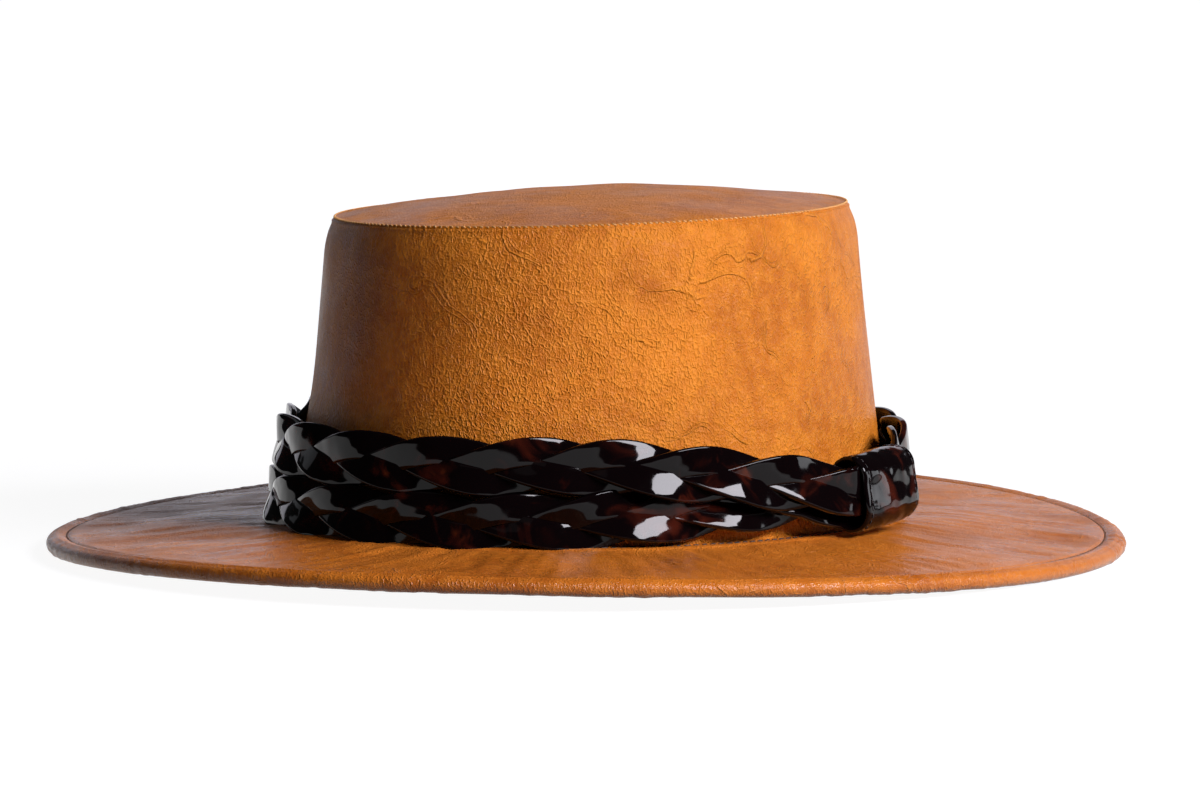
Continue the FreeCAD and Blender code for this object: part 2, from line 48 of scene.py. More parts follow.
# the hat's main sizes, read from the CAD where a node has them
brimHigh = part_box("brim_top")[1] / mm
wireLow, wireHigh = (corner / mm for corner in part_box("brim_wire"))
hat = {
    "brimWidth": 72.4,      # crown to the outer edge
    "edgeRadius": 2.35,     # rolled edge
    "edgeDrop": 6.38,       # crown's foot down to the middle of the rolled edge
    "waveCos": -2.107,      # the edge dips at the sides and rises at front and back
    "waveSin": -1.44,
    "leather": 1.1,
    "buckram": 1.0,
    "lining": 0.4,
    "glue": 0.05,
    "seamTilt": 0.0336,     # the crown's top leans up towards the wearer's left
}
hat["halfWide"] = brimHigh.x - hat["brimWidth"]
hat["halfLong"] = brimHigh.y - hat["brimWidth"]
hat["base"] = brimHigh.z
hat["seam"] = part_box("tip_seam_thread")[0].z / mm
hat["edgeReach"] = hat["brimWidth"] - hat["edgeRadius"]
hat["edgeLevel"] = (wireLow.z + wireHigh.z) / 2
hat["crownHeight"] = hat["seam"] - hat["base"]


def unit(vectors):
    # Each vector over its own length.
    return vectors / np.maximum(np.linalg.norm(vectors, axis=-1, keepdims=True), 1e-12)


def runLength(line):
    # Length run along a line up to each of its points.
    return np.concatenate([[0], np.cumsum(np.linalg.norm(np.diff(line, axis=0), axis=1))])


def ovalFrame(angle):
    # Head oval (b cos a, c sin a) and its outward unit normal, along (c cos a, b sin a).
    wide, deep = hat["halfWide"], hat["halfLong"]
    foot = np.stack([wide * np.cos(angle), deep * np.sin(angle)], -1)
    return foot, unit(np.stack([deep * np.cos(angle), wide * np.sin(angle)], -1))


def onOval(angle, offset, level):
    # A point: oval foot plus normal times offset, at a height.
    angle, offset, level = np.broadcast_arrays(angle, offset, level)
    foot, out = ovalFrame(angle)
    return np.concatenate([foot + out * offset[..., None], level[..., None]], -1)


def evenAngles(count):
    # Angles that step evenly along the oval: the running length is inverted by interpolation.
    dense = np.linspace(0, 2 * np.pi, 4001)
    length = runLength(onOval(dense, 0.0, 0.0))
    return np.interp(np.linspace(0, length[-1], count, endpoint=False), length, dense)


def carryRound(offset, level, count, lift=None):
    # A closed section of offsets and heights carried round the oval; lift adds height by angle
    # and offset.
    angle, offset = evenAngles(count)[None, :], offset[:, None]
    return onOval(angle, offset, level[:, None] + (lift(angle, offset) if lift else 0))


def makeWaves(seed, count, shortest, longest):
    # Plane waves of random direction and phase, wavelengths spread evenly in ratio.
    draw = np.random.default_rng(seed)
    way = unit(draw.normal(size=(count, 3)))
    span = shortest * (longest / shortest) ** draw.random(count)
    return way * (2 * np.pi / span)[:, None], draw.random(count) * 2 * np.pi


def waveField(points, waves):
    # Sum of cos(k . p + phase), scaled to a spread of about one.
    numbers, phases = waves
    flat = points.reshape(-1, 3)
    total = np.zeros(len(flat))
    for number, phase in zip(numbers, phases):
        total += np.cos(flat @ number + phase)
    return (total * math.sqrt(2 / len(phases))).reshape(points.shape[:-1])


def creaseField(points, waves, width):
    # Lines where a wave field crosses zero: exp of minus its square over a width.
    return np.exp(-(waveField(points, waves) / width) ** 2)


def smooth(share):
    # Eases from 0 to 1: s s (3 - 2 s).
    share = np.clip(share, 0.0, 1.0)
    return share * share * (3 - 2 * share)


def gridNormals(grid, wrapRows, wrapColumns):
    # Unit cross product of the central differences along the grid's two ways.
    along = (np.roll(grid, -1, 1) - np.roll(grid, 1, 1)) if wrapColumns else np.gradient(grid, axis=1)
    across = (np.roll(grid, -1, 0) - np.roll(grid, 1, 0)) if wrapRows else np.gradient(grid, axis=0)
    return unit(np.cross(along, across))


def cellCorners(table, backwards=False):
    # The values at the four corners of each cell of a table, one way round or the other.
    corners = [table[:-1, :-1], table[:-1, 1:], table[1:, 1:], table[1:, :-1]]
    if backwards:
        corners = [corners[0]] + corners[:0:-1]
    stack = np.stack(corners, 2)
    return stack.reshape(-1, *stack.shape[2:])


def meshOf(name, points, quads, faceUv=None):
    # A mesh of quads, in metres, with the UV of each face's corners.
    mesh = bpy.data.meshes.new(name)
    mesh.from_pydata(points.tolist(), [], quads.tolist())
    if faceUv is not None:
        layer = mesh.uv_layers.new(name="surface")
        layer.data.foreach_set("uv", np.ascontiguousarray(faceUv, dtype=np.float32).ravel())
    return mesh


def placeObject(name, data):
    # A new object for a mesh, a lamp or a camera, linked into the scene.
    made = bpy.data.objects.new(name, data)
    bpy.context.scene.collection.objects.link(made)
    return made


def addPiece(name, grid, body, material, replaces=(), wrapRows=True, wrapColumns=True, weld=False):
    # Grid of points to quads; a wrapped way joins its last line to its first. A volume below none,
    # summed over the faces' tetrahedra, tells that they have to be turned.
    rows, columns = grid.shape[:2]
    index = np.arange(rows * columns).reshape(rows, columns)
    rowLine = np.concatenate([np.arange(rows), [0]]) if wrapRows else np.arange(rows)
    columnLine = np.concatenate([np.arange(columns), [0]]) if wrapColumns else np.arange(columns)
    quads = cellCorners(index[np.ix_(rowLine, columnLine)])
    points = grid.reshape(-1, 3) * mm
    corners = points[quads]
    volume = np.einsum("ij,ij->i", corners[:, 0], np.cross(corners[:, 1], corners[:, 2])).sum()
    volume += np.einsum("ij,ij->i", corners[:, 0], np.cross(corners[:, 2], corners[:, 3])).sum()
    # UV in metres: running length along the middle row and along the first column
    closed = grid[:, columnLine][rowLine]
    u, v = runLength(closed[len(closed) // 2]) * mm, runLength(closed[:, 0]) * mm
    faceUv = cellCorners(np.stack(np.broadcast_arrays(u[None, :], v[:, None]), -1))
    if volume < 0:      # the faces point inwards
        quads, faceUv = quads[:, ::-1], faceUv[:, ::-1]
    return finishPiece(name, meshOf(name, points, quads, faceUv), body, material, replaces, weld)


def finishPiece(name, mesh, body, material, replaces, weld):
    # Mesh to a piece on its body; weld merges the points that meet at a pole or an end.
    if weld:
        work = bmesh.new()
        work.from_mesh(mesh)
        bmesh.ops.remove_doubles(work, verts=work.verts, dist=1e-6)
        work.to_mesh(mesh)
        work.free()
    mesh.polygons.foreach_set("use_smooth", np.ones(len(mesh.polygons), dtype=bool))
    mesh.materials.append(material)
    mesh.update()
    piece = placeObject(name, mesh)
    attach(piece, body)
    if replaces:
        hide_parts(*replaces)
    return piece


def addNode(tree, kind, inputs=None, **settings):
    # A node with its settings; an input is a link where a socket is given, else a constant.
    node = tree.nodes.new(kind)
    for key, setting in settings.items():
        setattr(node, key, setting)
    for key, source in (inputs or {}).items():
        if isinstance(source, bpy.types.NodeSocket):
            tree.links.new(source, node.inputs[key])
        else:
            node.inputs[key].default_value = source
    return node


def sumOf(tree, first, second, how="ADD", clamp=False):
    # First plus second, or joined in another named way.
    return addNode(tree, "ShaderNodeMath", {0: first, 1: second}, operation=how, use_clamp=clamp).outputs[0]


def times(tree, first, second):
    # First times second.
    return sumOf(tree, first, second, "MULTIPLY")


def sine(tree, value, scale):
    # Sine of the value times a scale.
    return sumOf(tree, times(tree, value, scale), 0.0, "SINE")


def vectorOf(tree, first, how, second):
    # First vector and second, joined in a named way.
    return addNode(tree, "ShaderNodeVectorMath", {0: first, 1: second}, operation=how).outputs[0]


def ranged(tree, value, low, high, toLow=0.0, toHigh=1.0):
    # Smooth step of a value between two limits.
    inputs = {"Value": value, "From Min": low, "From Max": high, "To Min": toLow, "To Max": toHigh}
    return addNode(tree, "ShaderNodeMapRange", inputs, interpolation_type="SMOOTHSTEP").outputs[0]


def mixColor(tree, share, first, second):
    # First color plus share times the way from it to the second.
    node = addNode(tree, "ShaderNodeMix", data_type="RGBA", blend_type="MIX")
    for socket, source in ((node.inputs[0], share), (node.inputs[6], first), (node.inputs[7], second)):
        if isinstance(source, bpy.types.NodeSocket):
            tree.links.new(source, socket)
        else:
            socket.default_value = source
    return node.outputs[2]


def noiseOf(tree, vector, scale, detail=2.0, rough=0.5, distortion=0.0, outlet=0):
    # Noise of about 0.5 in the middle, in cells of one over the scale.
    inputs = {"Vector": vector, "Scale": scale, "Detail": detail, "Roughness": rough,
              "Distortion": distortion}
    return addNode(tree, "ShaderNodeTexNoise", inputs).outputs[outlet]


def openGroup(name, **values):
    # A group that reads a vector and named numbers, and the sockets that bring them in.
    group = bpy.data.node_groups.new(name, "ShaderNodeTree")
    group.interface.new_socket("Vector", in_out="INPUT", socket_type="NodeSocketVector")
    for label, value in values.items():
        socket = group.interface.new_socket(label, in_out="INPUT", socket_type="NodeSocketFloat")
        socket.default_value = value
    return group, group.nodes.new("NodeGroupInput").outputs


def closeGroup(group, **results):
    # Gives the results out under their names, Color as a color and the rest as numbers.
    for label in results:
        kind = "NodeSocketColor" if label == "Color" else "NodeSocketFloat"
        group.interface.new_socket(label, in_out="OUTPUT", socket_type=kind)
    sink = group.nodes.new("NodeGroupOutput")
    for label, result in results.items():
        group.links.new(result, sink.inputs[label])
    return group


def useGroup(tree, group, **inputs):
    # A group placed in a tree, with its own values: what it gives out.
    return addNode(tree, "ShaderNodeGroup", inputs, node_tree=group).outputs


def makeCrinkleGroup():
    # Embossed leather: raised cell borders at two sizes and sheaves of long creases, over fine pores.
    group, given = openGroup("crinkleGrain", Cell=600.0, Vein=420.0, Warp=0.0012)
    place = given["Vector"]
    bend = vectorOf(group, noiseOf(group, place, 260.0, outlet="Color"), "SUBTRACT", (0.5, 0.5, 0.5))
    bend = addNode(group, "ShaderNodeVectorMath", {0: bend, "Scale": given["Warp"]}, operation="SCALE")
    bent = vectorOf(group, place, "ADD", bend.outputs[0])

    # cells stand taller than wide on the wall
    tall = vectorOf(group, bent, "MULTIPLY", (1.0, 1.0, 0.68))

    def borders(scale, width):
        # one on a cell's border, falling to none a width away
        cells = addNode(group, "ShaderNodeTexVoronoi", {"Vector": tall, "Scale": scale, "Randomness": 1.0},
                        feature="DISTANCE_TO_EDGE")
        return ranged(group, cells.outputs["Distance"], width, 0.0)

    def sheaf(scale, bands, shift):
        # a band beside one contour of a slow noise, filled with the close contours of the same noise
        moved = vectorOf(group, bent, "ADD", shift)
        slow = noiseOf(group, moved, scale, 2.0, 0.45)
        beside = sumOf(group, sine(group, slow, bands), 0.0, "ABSOLUTE")
        beside = ranged(group, beside, 0.24, 0.06)
        close = sine(group, slow, given["Vein"])
        stretch = ranged(group, noiseOf(group, moved, scale * 2.4), 0.48, 0.6)
        return times(group, times(group, beside, ranged(group, close, 0.1, 0.95)), stretch)

    cell = borders(given["Cell"], 0.24)
    small = borders(times(group, given["Cell"], 1.8), 0.3)
    broken = ranged(group, noiseOf(group, place, 420.0), 0.36, 0.6, 0.2, 1.0)
    patch = ranged(group, noiseOf(group, place, 30.0, 3.0, 0.55), 0.36, 0.64)
    vein = sumOf(group, sheaf(15.0, 17.0, (0.0, 0.0, 0.0)), sheaf(24.0, 13.0, (0.3, 0.1, 0.2)), "MAXIMUM")
    strength = sumOf(group, times(group, patch, 0.4), 0.6)
    cellHeight = times(group, times(group, cell, broken), strength)
    pores = noiseOf(group, place, 1300.0, 3.0, 0.65)
    height = sumOf(group, cellHeight, times(group, vein, 1.5))
    height = sumOf(group, height, times(group, small, 0.35))
    height = sumOf(group, height, times(group, pores, 0.6))
    ridge = sumOf(group, times(group, cellHeight, 0.6), times(group, vein, 0.8), "ADD", True)
    return closeGroup(group, Height=height, Ridge=ridge, Patch=patch)


def makeWeaveGroup():
    # Plain weave on a UV in metres: product of two sine ridges, warp and weft in turn.
    group, given = openGroup("clothWeave", Threads=1500.0)
    parts = addNode(group, "ShaderNodeSeparateXYZ", {0: given["Vector"]}).outputs
    turn = times(group, given["Threads"], math.pi)
    over = times(group, sine(group, parts[0], turn), sine(group, parts[1], turn))
    height = ranged(group, over, -1.0, 1.0)
    # painted shade: Shade is nought in the weave's low gaps, so a color drawn from it darkens there, with a
    # random tone from the noise on the raised threads
    shade = times(group, height, noiseOf(group, given["Vector"], 900.0))
    return closeGroup(group, Height=height, Shade=shade)


def makeBlotchGroup():
    # Tortoiseshell: soft-edged red-brown and amber spots in near black, from two warped noises.
    group, given = openGroup("tortoiseBlotch", Scale=75.0, Spread=0.0)
    place = given["Vector"]
    brown = noiseOf(group, place, given["Scale"], 3.0, 0.55, 1.2)
    amber = noiseOf(group, place, times(group, given["Scale"], 1.7), 2.0, 0.5, 0.8)
    brown = ranged(group, sumOf(group, brown, given["Spread"]), 0.53, 0.74)
    amber = ranged(group, sumOf(group, amber, given["Spread"]), 0.6, 0.8)
    amber = times(group, amber, brown)
    color = mixColor(group, brown, (0.0022, 0.0009, 0.0012, 1), (0.04, 0.0065, 0.003, 1))
    color = mixColor(group, amber, color, (0.12, 0.026, 0.007, 1))
    return closeGroup(group, Color=color, Height=noiseOf(group, place, 120.0, 1.0, 0.4))


crinkleGroup = makeCrinkleGroup()
weaveGroup = makeWeaveGroup()
blotchGroup = makeBlotchGroup()


def startMaterial(name, roughness, specular=0.5, sheen=0.0, metallic=0.0):
    # A material with one Principled shader, its constants and its coordinates.
    material = bpy.data.materials.new(name)
    material.use_nodes = True
    tree = material.node_tree
    principled = tree.nodes["Principled BSDF"]
    for key, setting in (("Roughness", roughness), ("Specular IOR Level", specular),
                         ("Sheen Weight", sheen), ("Metallic", metallic)):
        principled.inputs[key].default_value = setting
    return material, tree, principled, addNode(tree, "ShaderNodeTexCoord").outputs


def dressShader(tree, principled, color, height=None, distance=0.0):
    # The base color, and a normal that leans by the slope of height times distance, in metres.
    tree.links.new(color, principled.inputs["Base Color"])
    if height is not None:
        bump = addNode(tree, "ShaderNodeBump", {"Height": height, "Distance": distance, "Strength": 1.0})
        tree.links.new(bump.outputs[0], principled.inputs["Normal"])


def makeLeather(name, look):
    # Patchy dye between three tones, lighter on the raised creases, duller where it is lighter.
    material, tree, principled, place = startMaterial(name, look["roughness"], look["specular"])
    vector = place["Object"]
    grain = useGroup(tree, crinkleGroup, Vector=vector, Cell=look["cell"], Vein=look["vein"],
                     Warp=look["warp"])
    cloud = ranged(tree, noiseOf(tree, vector, look["cloud"], 4.0, 0.6, 0.4), 0.32, 0.68)
    fine = ranged(tree, noiseOf(tree, vector, 210.0, 3.0, 0.65), 0.35, 0.7)
    color = mixColor(tree, cloud, look["deep"], look["mid"])
    for share in (times(tree, fine, 0.35), times(tree, grain["Ridge"], look["ridgeShare"])):
        color = mixColor(tree, share, color, look["light"])
    gloss = ranged(tree, grain["Patch"], 0.0, 1.0, look["roughness"] - 0.05, look["roughness"] + 0.07)
    tree.links.new(gloss, principled.inputs["Roughness"])
    dressShader(tree, principled, color, grain["Height"], look["relief"])
    return material


def makeCloth(name, look):
    # Woven cloth: dark in the weave's low gaps and a noisy lighter tone on the raised threads, so the gaps
    # carry painted shade; with a soft sheen.
    material, tree, principled, place = startMaterial(name, look["roughness"], sheen=look["sheen"])
    weave = useGroup(tree, weaveGroup, Vector=place["UV"], Threads=look["threads"])
    color = mixColor(tree, weave["Shade"], look["dark"], look["light"])
    dressShader(tree, principled, color, weave["Height"], look["relief"])
    return material


def makeThread(name, look):
    # Twisted thread: slanted bands from the UV, u plus v times a slope; the color darkens where the bands
    # are low, painted shade in the grooves of the twist.
    material, tree, principled, place = startMaterial(name, 0.55)
    parts = addNode(tree, "ShaderNodeSeparateXYZ", {0: place["UV"]}).outputs
    slant = sumOf(tree, parts[0], times(tree, parts[1], 1.6))
    band = ranged(tree, sine(tree, slant, look["twist"]), -1.0, 1.0)
    dressShader(tree, principled, mixColor(tree, band, look["dark"], look["light"]), band, look["relief"])
    return material


def makePatent(name, look):
    # Tortoiseshell under a clear gloss, with the faint waves of a poured coat.
    material, tree, principled, place = startMaterial(name, look["roughness"], look["specular"])
    blotch = useGroup(tree, blotchGroup, Vector=place["Object"], Scale=look["scale"], Spread=look["spread"])
    dressShader(tree, principled, blotch["Color"], blotch["Height"], look["relief"])
    return material


def makeSpeckle(name, roughness, scale, dark, light, metallic=0.0):
    # A plain finish whose color drifts between two tones by a fine noise.
    material, tree, principled, place = startMaterial(name, roughness, metallic=metallic)
    drift = noiseOf(tree, place["Object"], scale)
    dressShader(tree, principled, mixColor(tree, drift, dark, light))
    return material


cognac = {
    "roughness": 0.38, "specular": 0.12, "cell": 760.0, "vein": 430.0, "warp": 0.0014, "cloud": 30.0,
    "relief": 0.00034, "ridgeShare": 0.35,
    "deep": (0.43, 0.115, 0.009, 1), "mid": (0.64, 0.20, 0.016, 1), "light": (0.80, 0.29, 0.032, 1),
}
# the brim's leather is the crown's cognac with its own gloss and relief; its three tones are darkened as
# painted shade, for the light its face gets less of
brimShadedLook = dict(cognac, cloud=22.0, roughness=0.3, specular=0.3, relief=0.00018,
                deep=(0.36, 0.088, 0.008, 1), mid=(0.54, 0.153, 0.014, 1), light=(0.7, 0.235, 0.03, 1))
underLook = dict(cognac, roughness=0.5, relief=0.00016)
sweatLook = {
    "roughness": 0.48, "specular": 0.45, "cell": 1100.0, "vein": 300.0, "warp": 0.0009, "cloud": 60.0,
    "relief": 0.00008, "ridgeShare": 0.2,
    "deep": (0.035, 0.014, 0.007, 1), "mid": (0.06, 0.024, 0.011, 1), "light": (0.11, 0.045, 0.02, 1),
}
crownLeather = makeLeather("crownLeather", cognac)
brimShadedLeather = makeLeather("brimShadedLeather", brimShadedLook)
underLeather = makeLeather("underLeather", underLook)
sweatLeather = makeLeather("sweatLeather", sweatLook)
buckramCloth = makeCloth("buckramCloth", {
    "roughness": 0.8, "sheen": 0.1, "threads": 700.0, "relief": 0.0002,
    "dark": (0.45, 0.4, 0.3, 1), "light": (0.75, 0.7, 0.58, 1)})
liningCloth = makeCloth("liningCloth", {
    "roughness": 0.42, "sheen": 0.35, "threads": 2600.0, "relief": 0.00004,
    "dark": (0.012, 0.008, 0.007, 1), "light": (0.05, 0.036, 0.03, 1)})
tapeCloth = makeCloth("tapeCloth", {
    "roughness": 0.7, "sheen": 0.2, "threads": 1300.0, "relief": 0.0001,
    "dark": (0.03, 0.018, 0.013, 1), "light": (0.1, 0.065, 0.05, 1)})
twisted = {"twist": 9000.0, "relief": 0.00005}
tanThread = makeThread("tanThread", dict(
    twisted, dark=(0.52, 0.22, 0.05, 1), light=(0.88, 0.5, 0.19, 1)))
brownThread = makeThread("brownThread", dict(
    twisted, dark=(0.06, 0.022, 0.008, 1), light=(0.2, 0.08, 0.03, 1)))
darkThread = makeThread("darkThread", dict(
    twisted, dark=(0.006, 0.005, 0.006, 1), light=(0.04, 0.034, 0.036, 1)))
strapPatent = makePatent("strapPatent", {
    "roughness": 0.06, "specular": 0.2, "scale": 62.0, "spread": 0.0, "relief": 0.0005})
sleevePatent = makePatent("sleevePatent", {
    "roughness": 0.08, "specular": 0.22, "scale": 70.0, "spread": 0.03, "relief": 0.0014})
print("materials:", len(bpy.data.materials))

crown = {
    "lean": 0.158,          # wall leans in, per millimetre of height
    "hollow": 0.00036,      # and less so higher up
    "shoulderFrom": 80.0,
    "shoulderIn": 2.62,     # extra pull in at the seam
    "shoulderPower": 2.6,
    "around": 760,
    "flange": 5.5,
    "tipRise": 6.5,
    "tipIn": 14.1,          # seam of the tip, in from the crown's foot
    "bead": 0.55,           # turned edges standing up at the seam
    "dent": 0.3,            # soft dents of the wall
    "crease": 0.06,         # raised creases
    "tipDent": 0.6,
    "sideIn": 1.9,          # the right side of the wall is pressed in a little, half way up
}


def wallOffset(height):
    # Lean in with height, less the hollow's square, and a power pull over the shoulder.
    pull = np.clip((height - crown["shoulderFrom"]) / (hat["crownHeight"] - crown["shoulderFrom"]), 0, 1.2)
    lean = -crown["lean"] * height + crown["hollow"] * height ** 2
    return lean - crown["shoulderIn"] * pull ** crown["shoulderPower"]


def tiltCrown(grid):
    # Height grows with x, in step with the height over the brim; the wall of the -X side moves
    # in by a half sine of the height.
    share = np.clip((grid[..., 2] - hat["base"]) / hat["crownHeight"], 0, None)
    angle = np.arctan2(grid[..., 1], grid[..., 0])
    side = np.clip(np.cos(angle - math.radians(205)), 0, None) ** 2
    press = crown["sideIn"] * side * np.sin(np.pi * np.clip(share * 1.06, 0, 1))
    grid[..., 0] -= press * np.cos(angle)
    grid[..., 1] -= press * np.sin(angle)
    grid[..., 2] += hat["seamTilt"] * grid[..., 0] * share
    return grid


def wallLoop(depth, thickness, top, rows=76, flange=None):
    # Closed section: up the outer face, over the top edge, down the inner face, round the flange.
    rise = top * (1 - (1 - np.linspace(0, 1, rows)) ** 1.25)
    inner = np.linspace(top, 0, 16)
    offset = np.concatenate([wallOffset(rise) - depth, wallOffset(inner) - depth - thickness])
    level = np.concatenate([rise, inner]) + hat["base"]
    if flange is not None:
        slope = (hat["base"] - hat["edgeLevel"] - hat["edgeRadius"]) / hat["edgeReach"]
        under = hat["base"] - 3.05
        reach = np.linspace(0, flange, 6)
        offset = np.concatenate([offset, [-thickness], reach, reach[::-1]])
        level = np.concatenate([level, [under - thickness + 0.1], under - thickness - reach * slope,
                                under - reach[::-1] * slope])
    return offset, level


creaseWaves = makeWaves(11, 26, 9.0, 30.0)
patchWaves = makeWaves(12, 16, 30.0, 90.0)
dentWaves = makeWaves(13, 14, 26.0, 95.0)
fineWaves = makeWaves(14, 34, 4.5, 12.0)


def wrinkle(grid, normals, dent, crease, mask):
    # Moves points along their normals: broad dents, plus creases that come and go in patches.
    patch = smooth(waveField(grid, patchWaves) * 0.5 + 0.4)
    lines = creaseField(grid, creaseWaves, 0.09) + 0.6 * creaseField(grid, fineWaves, 0.12)
    push = dent * waveField(grid, dentWaves) * 0.4 + crease * patch * lines
    return grid + normals * (push * mask)[..., None]


def makeCrownSide():
    # The wall's section round the oval, with a lip at its top, exp of minus a squared height, and
    # wrinkles on its outer face.
    rows = 80
    offset, level = wallLoop(0.0, hat["leather"], hat["crownHeight"] - 0.35, rows, crown["flange"])
    rise = level - hat["base"]
    outer = (np.arange(len(level)) < rows) * 1.0
    lip = crown["bead"] * np.exp(-((rise - hat["crownHeight"] + 0.7) / 0.55) ** 2) * outer
    grid = carryRound(offset + lip, level, crown["around"])
    normals = gridNormals(grid, True, True)
    sign = np.sign((normals[20, :, :2] * grid[20, :, :2]).sum())
    mask = outer * smooth(rise / 4) * smooth((hat["crownHeight"] - 1.2 - rise) / 5)
    grid = wrinkle(grid, normals * sign, crown["dent"], crown["crease"], mask[:, None])
    addPiece("crownSide", tiltCrown(grid), "hat", crownLeather, ["crown_side"])


def makeWallSheet(name, node, depth, thickness, top, material):
    # A layer behind the wall: its section at a depth, carried round the oval.
    grid = carryRound(*wallLoop(depth, thickness, top, 24), 240)
    return addPiece(name, tiltCrown(grid), "hat", material, [node])


def makeTipSheet(name, node, depth, thickness, material, dress=False):
    # Dome over the seam's oval: rise times one minus the square of the share out from the middle,
    # a half-round edge and the same dome back inside; dress adds the leather's dents and creases.
    angle = evenAngles(crown["around"] if dress else 240)
    count = 72 if dress else 24
    share = np.linspace(0, 1, count) ** 0.8
    below = np.linspace(1, 0, 12)
    edge = -crown["tipIn"] - depth - (0.0 if dress else 0.6)
    rimFoot = onOval(angle, edge, 0.0)[:, :2]
    top = crown["tipRise"] * (1 - share ** 2) + hat["seam"] - depth
    bead = crown["bead"] * np.exp(-((1 - share) * 80 / 0.7) ** 2) if dress else np.zeros(count)
    corner = np.linspace(np.pi / 2, -np.pi / 2, 7)[1:-1]
    shares = np.concatenate([share, 1 + 0 * corner, below])
    grow = np.concatenate([0 * share, np.cos(corner) * thickness * 0.4, 0 * below])
    middle = hat["seam"] - depth - thickness / 2
    under = crown["tipRise"] * (1 - below ** 2) + hat["seam"] - depth - thickness
    level = np.concatenate([top + bead, middle + np.sin(corner) * thickness / 2, under])
    grid = np.empty((len(shares), len(angle), 3))
    _, out = ovalFrame(angle)
    grid[..., :2] = shares[:, None, None] * rimFoot[None] + grow[:, None, None] * out[None]
    grid[..., 2] = level[:, None]
    if dress:
        face = np.concatenate([smooth((1 - share) * 12), 0 * corner, 0 * below])
        lift = crown["tipDent"] * 0.5 * waveField(grid, dentWaves)
        patch = smooth(waveField(grid, patchWaves) * 0.5 + 0.45)
        lift += crown["crease"] * 1.2 * patch * creaseField(grid, creaseWaves, 0.1)
        grid[..., 2] += lift * face[:, None]
        for pole in (0, -1):
            grid[pole, :, 2] = grid[pole, :, 2].mean()
    return addPiece(name, tiltCrown(grid), "hat", material, [node], wrapRows=False, weld=True)


def declareLining(piece):
    # Only prints the cut's area, which is half of the mesh's, since the mesh counts both faces of the cloth.
    area = np.empty(len(piece.data.polygons))
    piece.data.polygons.foreach_get("area", area)
    print(piece.name, "cut area", round(area.sum() / 2, 4))


# the layers end a little short of the seam of the tip
buckramDepth = hat["leather"] + hat["glue"]
liningDepth = buckramDepth + hat["buckram"] + hat["glue"]
makeCrownSide()
makeTipSheet("crownTip", "crown_tip", 0.0, hat["leather"], crownLeather, dress=True)
makeWallSheet("crownSideBuckram", "crown_side_buckram", buckramDepth, hat["buckram"],
              hat["crownHeight"] - 2.4, buckramCloth)
makeTipSheet("crownTipBuckram", "crown_tip_buckram", buckramDepth, hat["buckram"], buckramCloth)
sideLining = makeWallSheet("crownSideLining", "crown_side_lining", liningDepth, hat["lining"],
                           hat["crownHeight"] - 3.0, liningCloth)
tipLining = makeTipSheet("crownTipLining", "crown_tip_lining", liningDepth, hat["lining"],
                         liningCloth)
declareLining(sideLining)
declareLining(tipLining)
print("crown done")

brim = {
    "around": 880,
    "board": (1.15, 1.0),   # depth under the face, and thickness
    "under": (2.2, 0.8),
    "tape": (4.2, 0.3),
    "tapeSpan": (-1.1, 7.9),
    "seamRow": 2.4,         # stitches that join brim and crown, out from the crown
    "wireRadius": 1.2,
    "turnUnder": 7.5,
    "grooveIn": 6.2,        # stitched groove, in from the edge
    "grooveDeep": 0.55,
    "puff": 0.45,           # leather puffed between groove and roll
    "ridge": 0.4,           # flange showing through beside the crown
    "pucker": 0.2,
    "dent": 0.7,
    "crease": 0.08,
    "streak": 0.2,          # long shallow dents that run out from the crown
    "sideDrop": 0.9,        # the edge of the -X side hangs a little lower
}
brim["tilt"] = math.radians(5.75)
brim["slope"] = math.tan(brim["tilt"])
brim["grooveAt"] = hat["brimWidth"] - brim["grooveIn"]
brim["turnDepth"] = 3.0 + hat["leather"] + 0.1       # brim face down to the turned edge below


def brimFace(offset, depth=0.0):
    # Height of the flat brim's upper face, a straight slope down from the crown.
    return hat["base"] - offset * brim["slope"] - depth


def brimLift(angle, offset):
    # The edge's wave, two highs and two lows round the oval, growing from nothing at the crown.
    middle = hat["base"] - hat["edgeDrop"] - hat["edgeLevel"]
    wave = hat["waveCos"] * np.cos(2 * angle) + hat["waveSin"] * np.sin(2 * angle)
    wave = wave - brim["sideDrop"] * np.clip(np.cos(angle - math.radians(165)), 0, None) ** 2
    return (middle + wave) * np.clip(offset / hat["edgeReach"], 0, 1) ** 1.3


def brimRing(name, node, offset, level, slot, material, around=360):
    # A closed section carried round the oval and lifted with the brim's wave.
    addPiece(name, carryRound(offset, level, around, brimLift), "hat", material, [node])


def roundLoop(offset, level, radius):
    # Closed section of a cord: middle plus radius times cosine and sine.
    turn = np.linspace(0, 2 * np.pi, 12, endpoint=False)
    return offset + radius * np.cos(turn), level + radius * np.sin(turn)


def flatLoop(start, end, depth, thickness, steps=24):
    # Closed section of a flat layer: out along its top, back along its underside.
    reach = np.linspace(start, end, steps)
    offset = np.concatenate([reach, reach[::-1]])
    level = np.concatenate([brimFace(reach, depth), brimFace(reach[::-1], depth + thickness)])
    return offset, level


def topDressing(offset):
    # What the upper face's profile adds: a ridge between two smooth steps, and a stitch dip, a
    # groove and a puff, each exp of minus a squared distance.
    ridge = brim["ridge"] * smooth((offset - 0.2) / 1.0) * (1 - smooth((offset - 4.9) / 1.8))
    dip = -0.3 * np.exp(-((offset - brim["seamRow"]) / 0.45) ** 2)
    cut = -brim["grooveDeep"] * np.exp(-((offset - brim["grooveAt"]) / 0.75) ** 2)
    puff = brim["puff"] * np.exp(-((offset - brim["grooveAt"] - 3.1) / 1.5) ** 2)
    return ridge + dip + cut + puff


